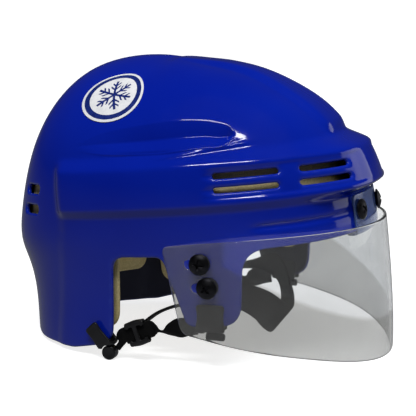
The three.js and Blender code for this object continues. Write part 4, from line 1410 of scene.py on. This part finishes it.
def ribbon(name, centres, across, widths, thick, steps, ripple=0.0):
    """Webbing of a rounded flat section, with its length and width in mm as attributes."""
    centre = catmull(centres, steps)
    across = unit(catmull(unit(np.asarray(across, float)), steps))
    wide = catmull(np.asarray(widths, float)[:, None], steps)[:, 0]
    run = unit(np.gradient(centre, axis=0))
    across = unit(across - run * (across * run).sum(1)[:, None])
    through = np.cross(run, across)
    lengths = np.concatenate([[0], np.cumsum(np.linalg.norm(np.diff(centre, axis=0), axis=1))])
    half = thick / 2
    flat = np.linspace(-1, 1, 15)
    turn = np.linspace(-math.pi / 2, math.pi / 2, 7)[1:-1]
    section = [(a, 1.0, 0.0) for a in flat]
    section += [(1.0, math.cos(math.pi / 2 + t), math.sin(math.pi / 2 + t)) for t in turn]
    section += [(a, -1.0, 0.0) for a in flat[::-1]]
    section += [(-1.0, -math.cos(math.pi / 2 + t), -math.sin(math.pi / 2 + t)) for t in turn]
    points, along, sideways = [], [], []
    for k, middle in enumerate(centre):
        reach = wide[k] / 2 - half
        for a, up, out in section:
            wave = ripple * math.sin(0.9 * lengths[k]) * (1 - a * a)
            side = a * reach + out * half
            level = up * half * (1 - 0.12 * abs(a) ** 6) + wave
            points.append(middle + across[k] * side + through[k] * level)
            along.append(lengths[k])
            sideways.append(side)
    n = len(section)
    faces = []
    for k in range(len(centre) - 1):
        for i in range(n):
            j = (i + 1) % n
            faces.append([k * n + j, k * n + i, (k + 1) * n + i, (k + 1) * n + j])
    last = (len(centre) - 1) * n
    faces.append(list(range(n)))
    faces.append([last + i for i in reversed(range(n))])
    attributes = {"along": np.array(along), "sideways": np.array(sideways)}
    return new_object(name, np.array(points), faces, attributes=attributes)


def side_strap_piece(side, name):
    centres = [(x + FRAME_X, y * side, z + FRAME_Z) for x, y, z, *_ in SIDE_ROUTE]
    across = [(-math.sin(c) * math.cos(t), math.sin(t) * side, math.cos(c) * math.cos(t))
              for *_, c, t in SIDE_ROUTE]
    widths = [row[3] for row in SIDE_ROUTE]
    piece = ribbon(f"side_strap_{name}_webbing", centres, across, widths, STRAP_THICK, 12)
    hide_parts(f"side_strap_{name}")
    return dressed(piece, "webbing", "helmet")


def chin_strap_piece():
    mirrored = [((x, -y, z), (a, -b, c), wide) for (x, y, z), (a, b, c), wide in CHIN_HALF[:-1]]
    stations = mirrored + CHIN_HALF[::-1]
    centres = [(x + FRAME_X, y, z + FRAME_Z) for (x, y, z), _, _ in stations]
    across = [direction for _, direction, _ in stations]
    widths = [wide for *_, wide in stations]
    piece = ribbon("chin_strap_webbing", centres, across, widths, STRAP_THICK, 10)
    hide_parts("chin_strap")
    return dressed(piece, "webbing", "chin_strap")


def slider_piece(side, name):
    """The ladder-lock sleeve round a side strap, with two windows in its outer face."""
    tall, deep, long, corner = 6.0, 2.1, 5.0, 1.7
    path = []
    for up, out, first in ((1, 1, 0), (1, -1, 90), (-1, -1, 180), (-1, 1, 270)):
        for k in range(7):
            a = math.radians(first + 90 * k / 6)
            c, s = math.cos(a), math.sin(a)
            path.append((out * (deep - corner) + corner * c, up * (tall - corner) + corner * s, c, s))
    path = np.array(path + path[:1])
    lengths = np.concatenate([[0], np.cumsum(np.linalg.norm(np.diff(path[:, :2], axis=0), axis=1))])
    at = np.linspace(0, lengths[-1], 92)[:-1]
    out, up, lean_out, lean_up = (np.interp(at, lengths, path[:, k])[:, None] for k in range(4))
    along = np.linspace(-long - 0.6, long + 0.6, 30)[None, :]
    run = np.array([math.cos(SLIDER_RUN), 0, math.sin(SLIDER_RUN)])
    high = np.array([-math.sin(SLIDER_RUN), 0, math.cos(SLIDER_RUN)])
    outward = np.array([0.0, side, 0.0])
    centre = np.array([SLIDER_AT[0] + FRAME_X, STRAP_Y * side, SLIDER_AT[1] + FRAME_Z])
    grip = 1 + 0.035 * np.cos(along * math.pi / long)
    points = centre + run * along[..., None]
    points = points + outward * (out * grip)[..., None] + high * (up * grip)[..., None]
    normals = unit(outward * lean_out[..., None] + high * lean_up[..., None])
    normals = np.broadcast_to(normals, points.shape)
    cut = np.broadcast_to(np.abs(along) - long, out.shape[:1] + along.shape[1:])
    for middle in (-2.35, 2.35):
        window = -rounded_box(along - middle, up, 1.25, 3.5, 0.6)
        cut = np.maximum(cut, np.where(out > 1.2, window, -9))
    made = plate(points, normals, cut, 1.05, wrap=True, power=3, rows=5)
    piece = new_object(f"slider_{name}_sleeve", *made)
    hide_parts(f"slider_{name}")
    return dressed(piece, "slider_plastic", f"slider_{name}")


def strap_pieces():
    for side, name in ((1, "left"), (-1, "right")):
        side_strap_piece(side, name)
        slider_piece(side, name)
    chin_strap_piece()


# ---- stickers ----
def sticker_piece(side, name):
    heading = math.radians(DECAL_AT[0]) * side
    rise = math.radians(DECAL_AT[1])
    step = 0.01
    centre = dome_point(np.array(heading), np.array(rise))
    per_heading = np.linalg.norm(dome_point(np.array(heading + step), np.array(rise)) - centre) / step
    per_rise = np.linalg.norm(dome_point(np.array(heading), np.array(rise + step)) - centre) / step
    a = np.linspace(-DECAL_RADIUS - 1, DECAL_RADIUS + 1, 72)
    a, b = np.meshgrid(a, a, indexing="ij")
    headings = heading + a / per_heading
    rises = rise + b / per_rise
    normal = surface_normal(shell_point, headings, rises)
    points = placed(shell_point(headings, rises) + normal * 0.42)
    extra = {"sticker_x": a * side, "sticker_y": b}
    cut = np.hypot(a, b) - DECAL_RADIUS
    made = plate(points, turned_level(normal), cut, 0.24, rows=3, extra=extra)
    piece = new_object(f"decal_{name}_vinyl", *made)
    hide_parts(f"decal_{name}")
    return dressed(piece, "sticker_vinyl", "helmet")


# ---- room ----
def floor_piece():
    reach = 24.0
    mesh = bpy.data.meshes.new("floor")
    corners = [(-reach, -reach, 0), (reach, -reach, 0), (reach, reach, 0), (-reach, reach, 0)]
    mesh.from_pydata(corners, [], [(0, 1, 2, 3)])
    floor = bpy.data.objects.new("floor", mesh)
    bpy.context.scene.collection.objects.link(floor)
    s = Shader("floor_paper")
    tone = s.between(s.noise(30, 4), 0, 1, 0.3, 0.7)
    s.finish(Base_Color=s.blend(tone, shade(190, 191, 192), shade(198, 199, 200)), Roughness=0.7,
             Emission_Color=(1.0, 1.0, 1.0, 1.0), Emission_Strength=0.78)
    mesh.materials.append(s.material)
    floor.visible_glossy = False
    floor.visible_diffuse = False


def lamp(name, place, size, power):
    """A soft rectangular panel facing the helmet."""
    light = bpy.data.lights.new(name, "AREA")
    light.shape = "RECTANGLE"
    light.size, light.size_y = size
    light.energy = power
    panel = bpy.data.objects.new(name, light)
    panel.location = place
    direction = Vector((0, 0, 0.07)) - Vector(place)
    panel.rotation_euler = direction.to_track_quat("-Z", "Y").to_euler()
    panel.visible_camera = False
    bpy.context.scene.collection.objects.link(panel)


def sky():
    """Broad even light from above, which the glossy shell doesn't mirror."""
    light = bpy.data.lights.new("sky", "SUN")
    light.energy = 1.9
    light.angle = math.radians(60)
    above = bpy.data.objects.new("sky", light)
    above.rotation_euler = (math.radians(14), math.radians(12), 0)
    above.visible_glossy = False
    bpy.context.scene.collection.objects.link(above)


def surroundings():
    """A dim room above the horizon and a paler one below it."""
    world = bpy.data.worlds.new("studio")
    bpy.context.scene.world = world
    world.use_nodes = True
    tree = world.node_tree
    direction = tree.nodes.new("ShaderNodeTexCoord").outputs["Generated"]
    split = tree.nodes.new("ShaderNodeSeparateXYZ")
    tree.links.new(direction, split.inputs[0])
    level = tree.nodes.new("ShaderNodeMapRange")
    for socket, value in zip(level.inputs[1:5], (-0.5, 0.1, 0.32, 0.035)):
        socket.default_value = value
    tree.links.new(split.outputs["Z"], level.inputs[0])
    background = tree.nodes["Background"]
    background.inputs["Color"].default_value = (0.93, 0.95, 1.0, 1.0)
    tree.links.new(level.outputs[0], background.inputs["Strength"])


def room():
    bpy.context.scene.view_settings.view_transform = "Standard"
    surroundings()
    lamp("key", (0.05, -0.72, 1.12), (0.75, 0.11), 7.5)
    lamp("backdrop", (1.5, 1.1, 0.35), (1.6, 0.9), 5.0)
    sky()
    floor_piece()


def camera():
    data = bpy.data.cameras.new("camera")
    data.sensor_width = 36.0
    data.lens = 112.5
    data.clip_start = 0.01
    seen_from = bpy.data.objects.new("camera", data)
    azimuth, elevation, distance = math.radians(20.3), math.radians(10.0), 0.65
    aim = Vector((FRAME_X, 0, FRAME_Z)) * 0.001
    away = Vector((math.sin(azimuth) * math.cos(elevation), -math.cos(azimuth) * math.cos(elevation),
                   math.sin(elevation)))
    seen_from.location = aim + away * distance
    seen_from.rotation_euler = (-away).to_track_quat("-Z", "Y").to_euler()
    bpy.context.scene.collection.objects.link(seen_from)
    bpy.context.scene.camera = seen_from


camera()
room()
shell_piece()
liner_pieces()
visor_piece()
bracket_piece()
fastener_pieces()
clip_pieces()
strap_pieces()
for mirror, which in ((1, "left"), (-1, "right")):
    sticker_piece(mirror, which)
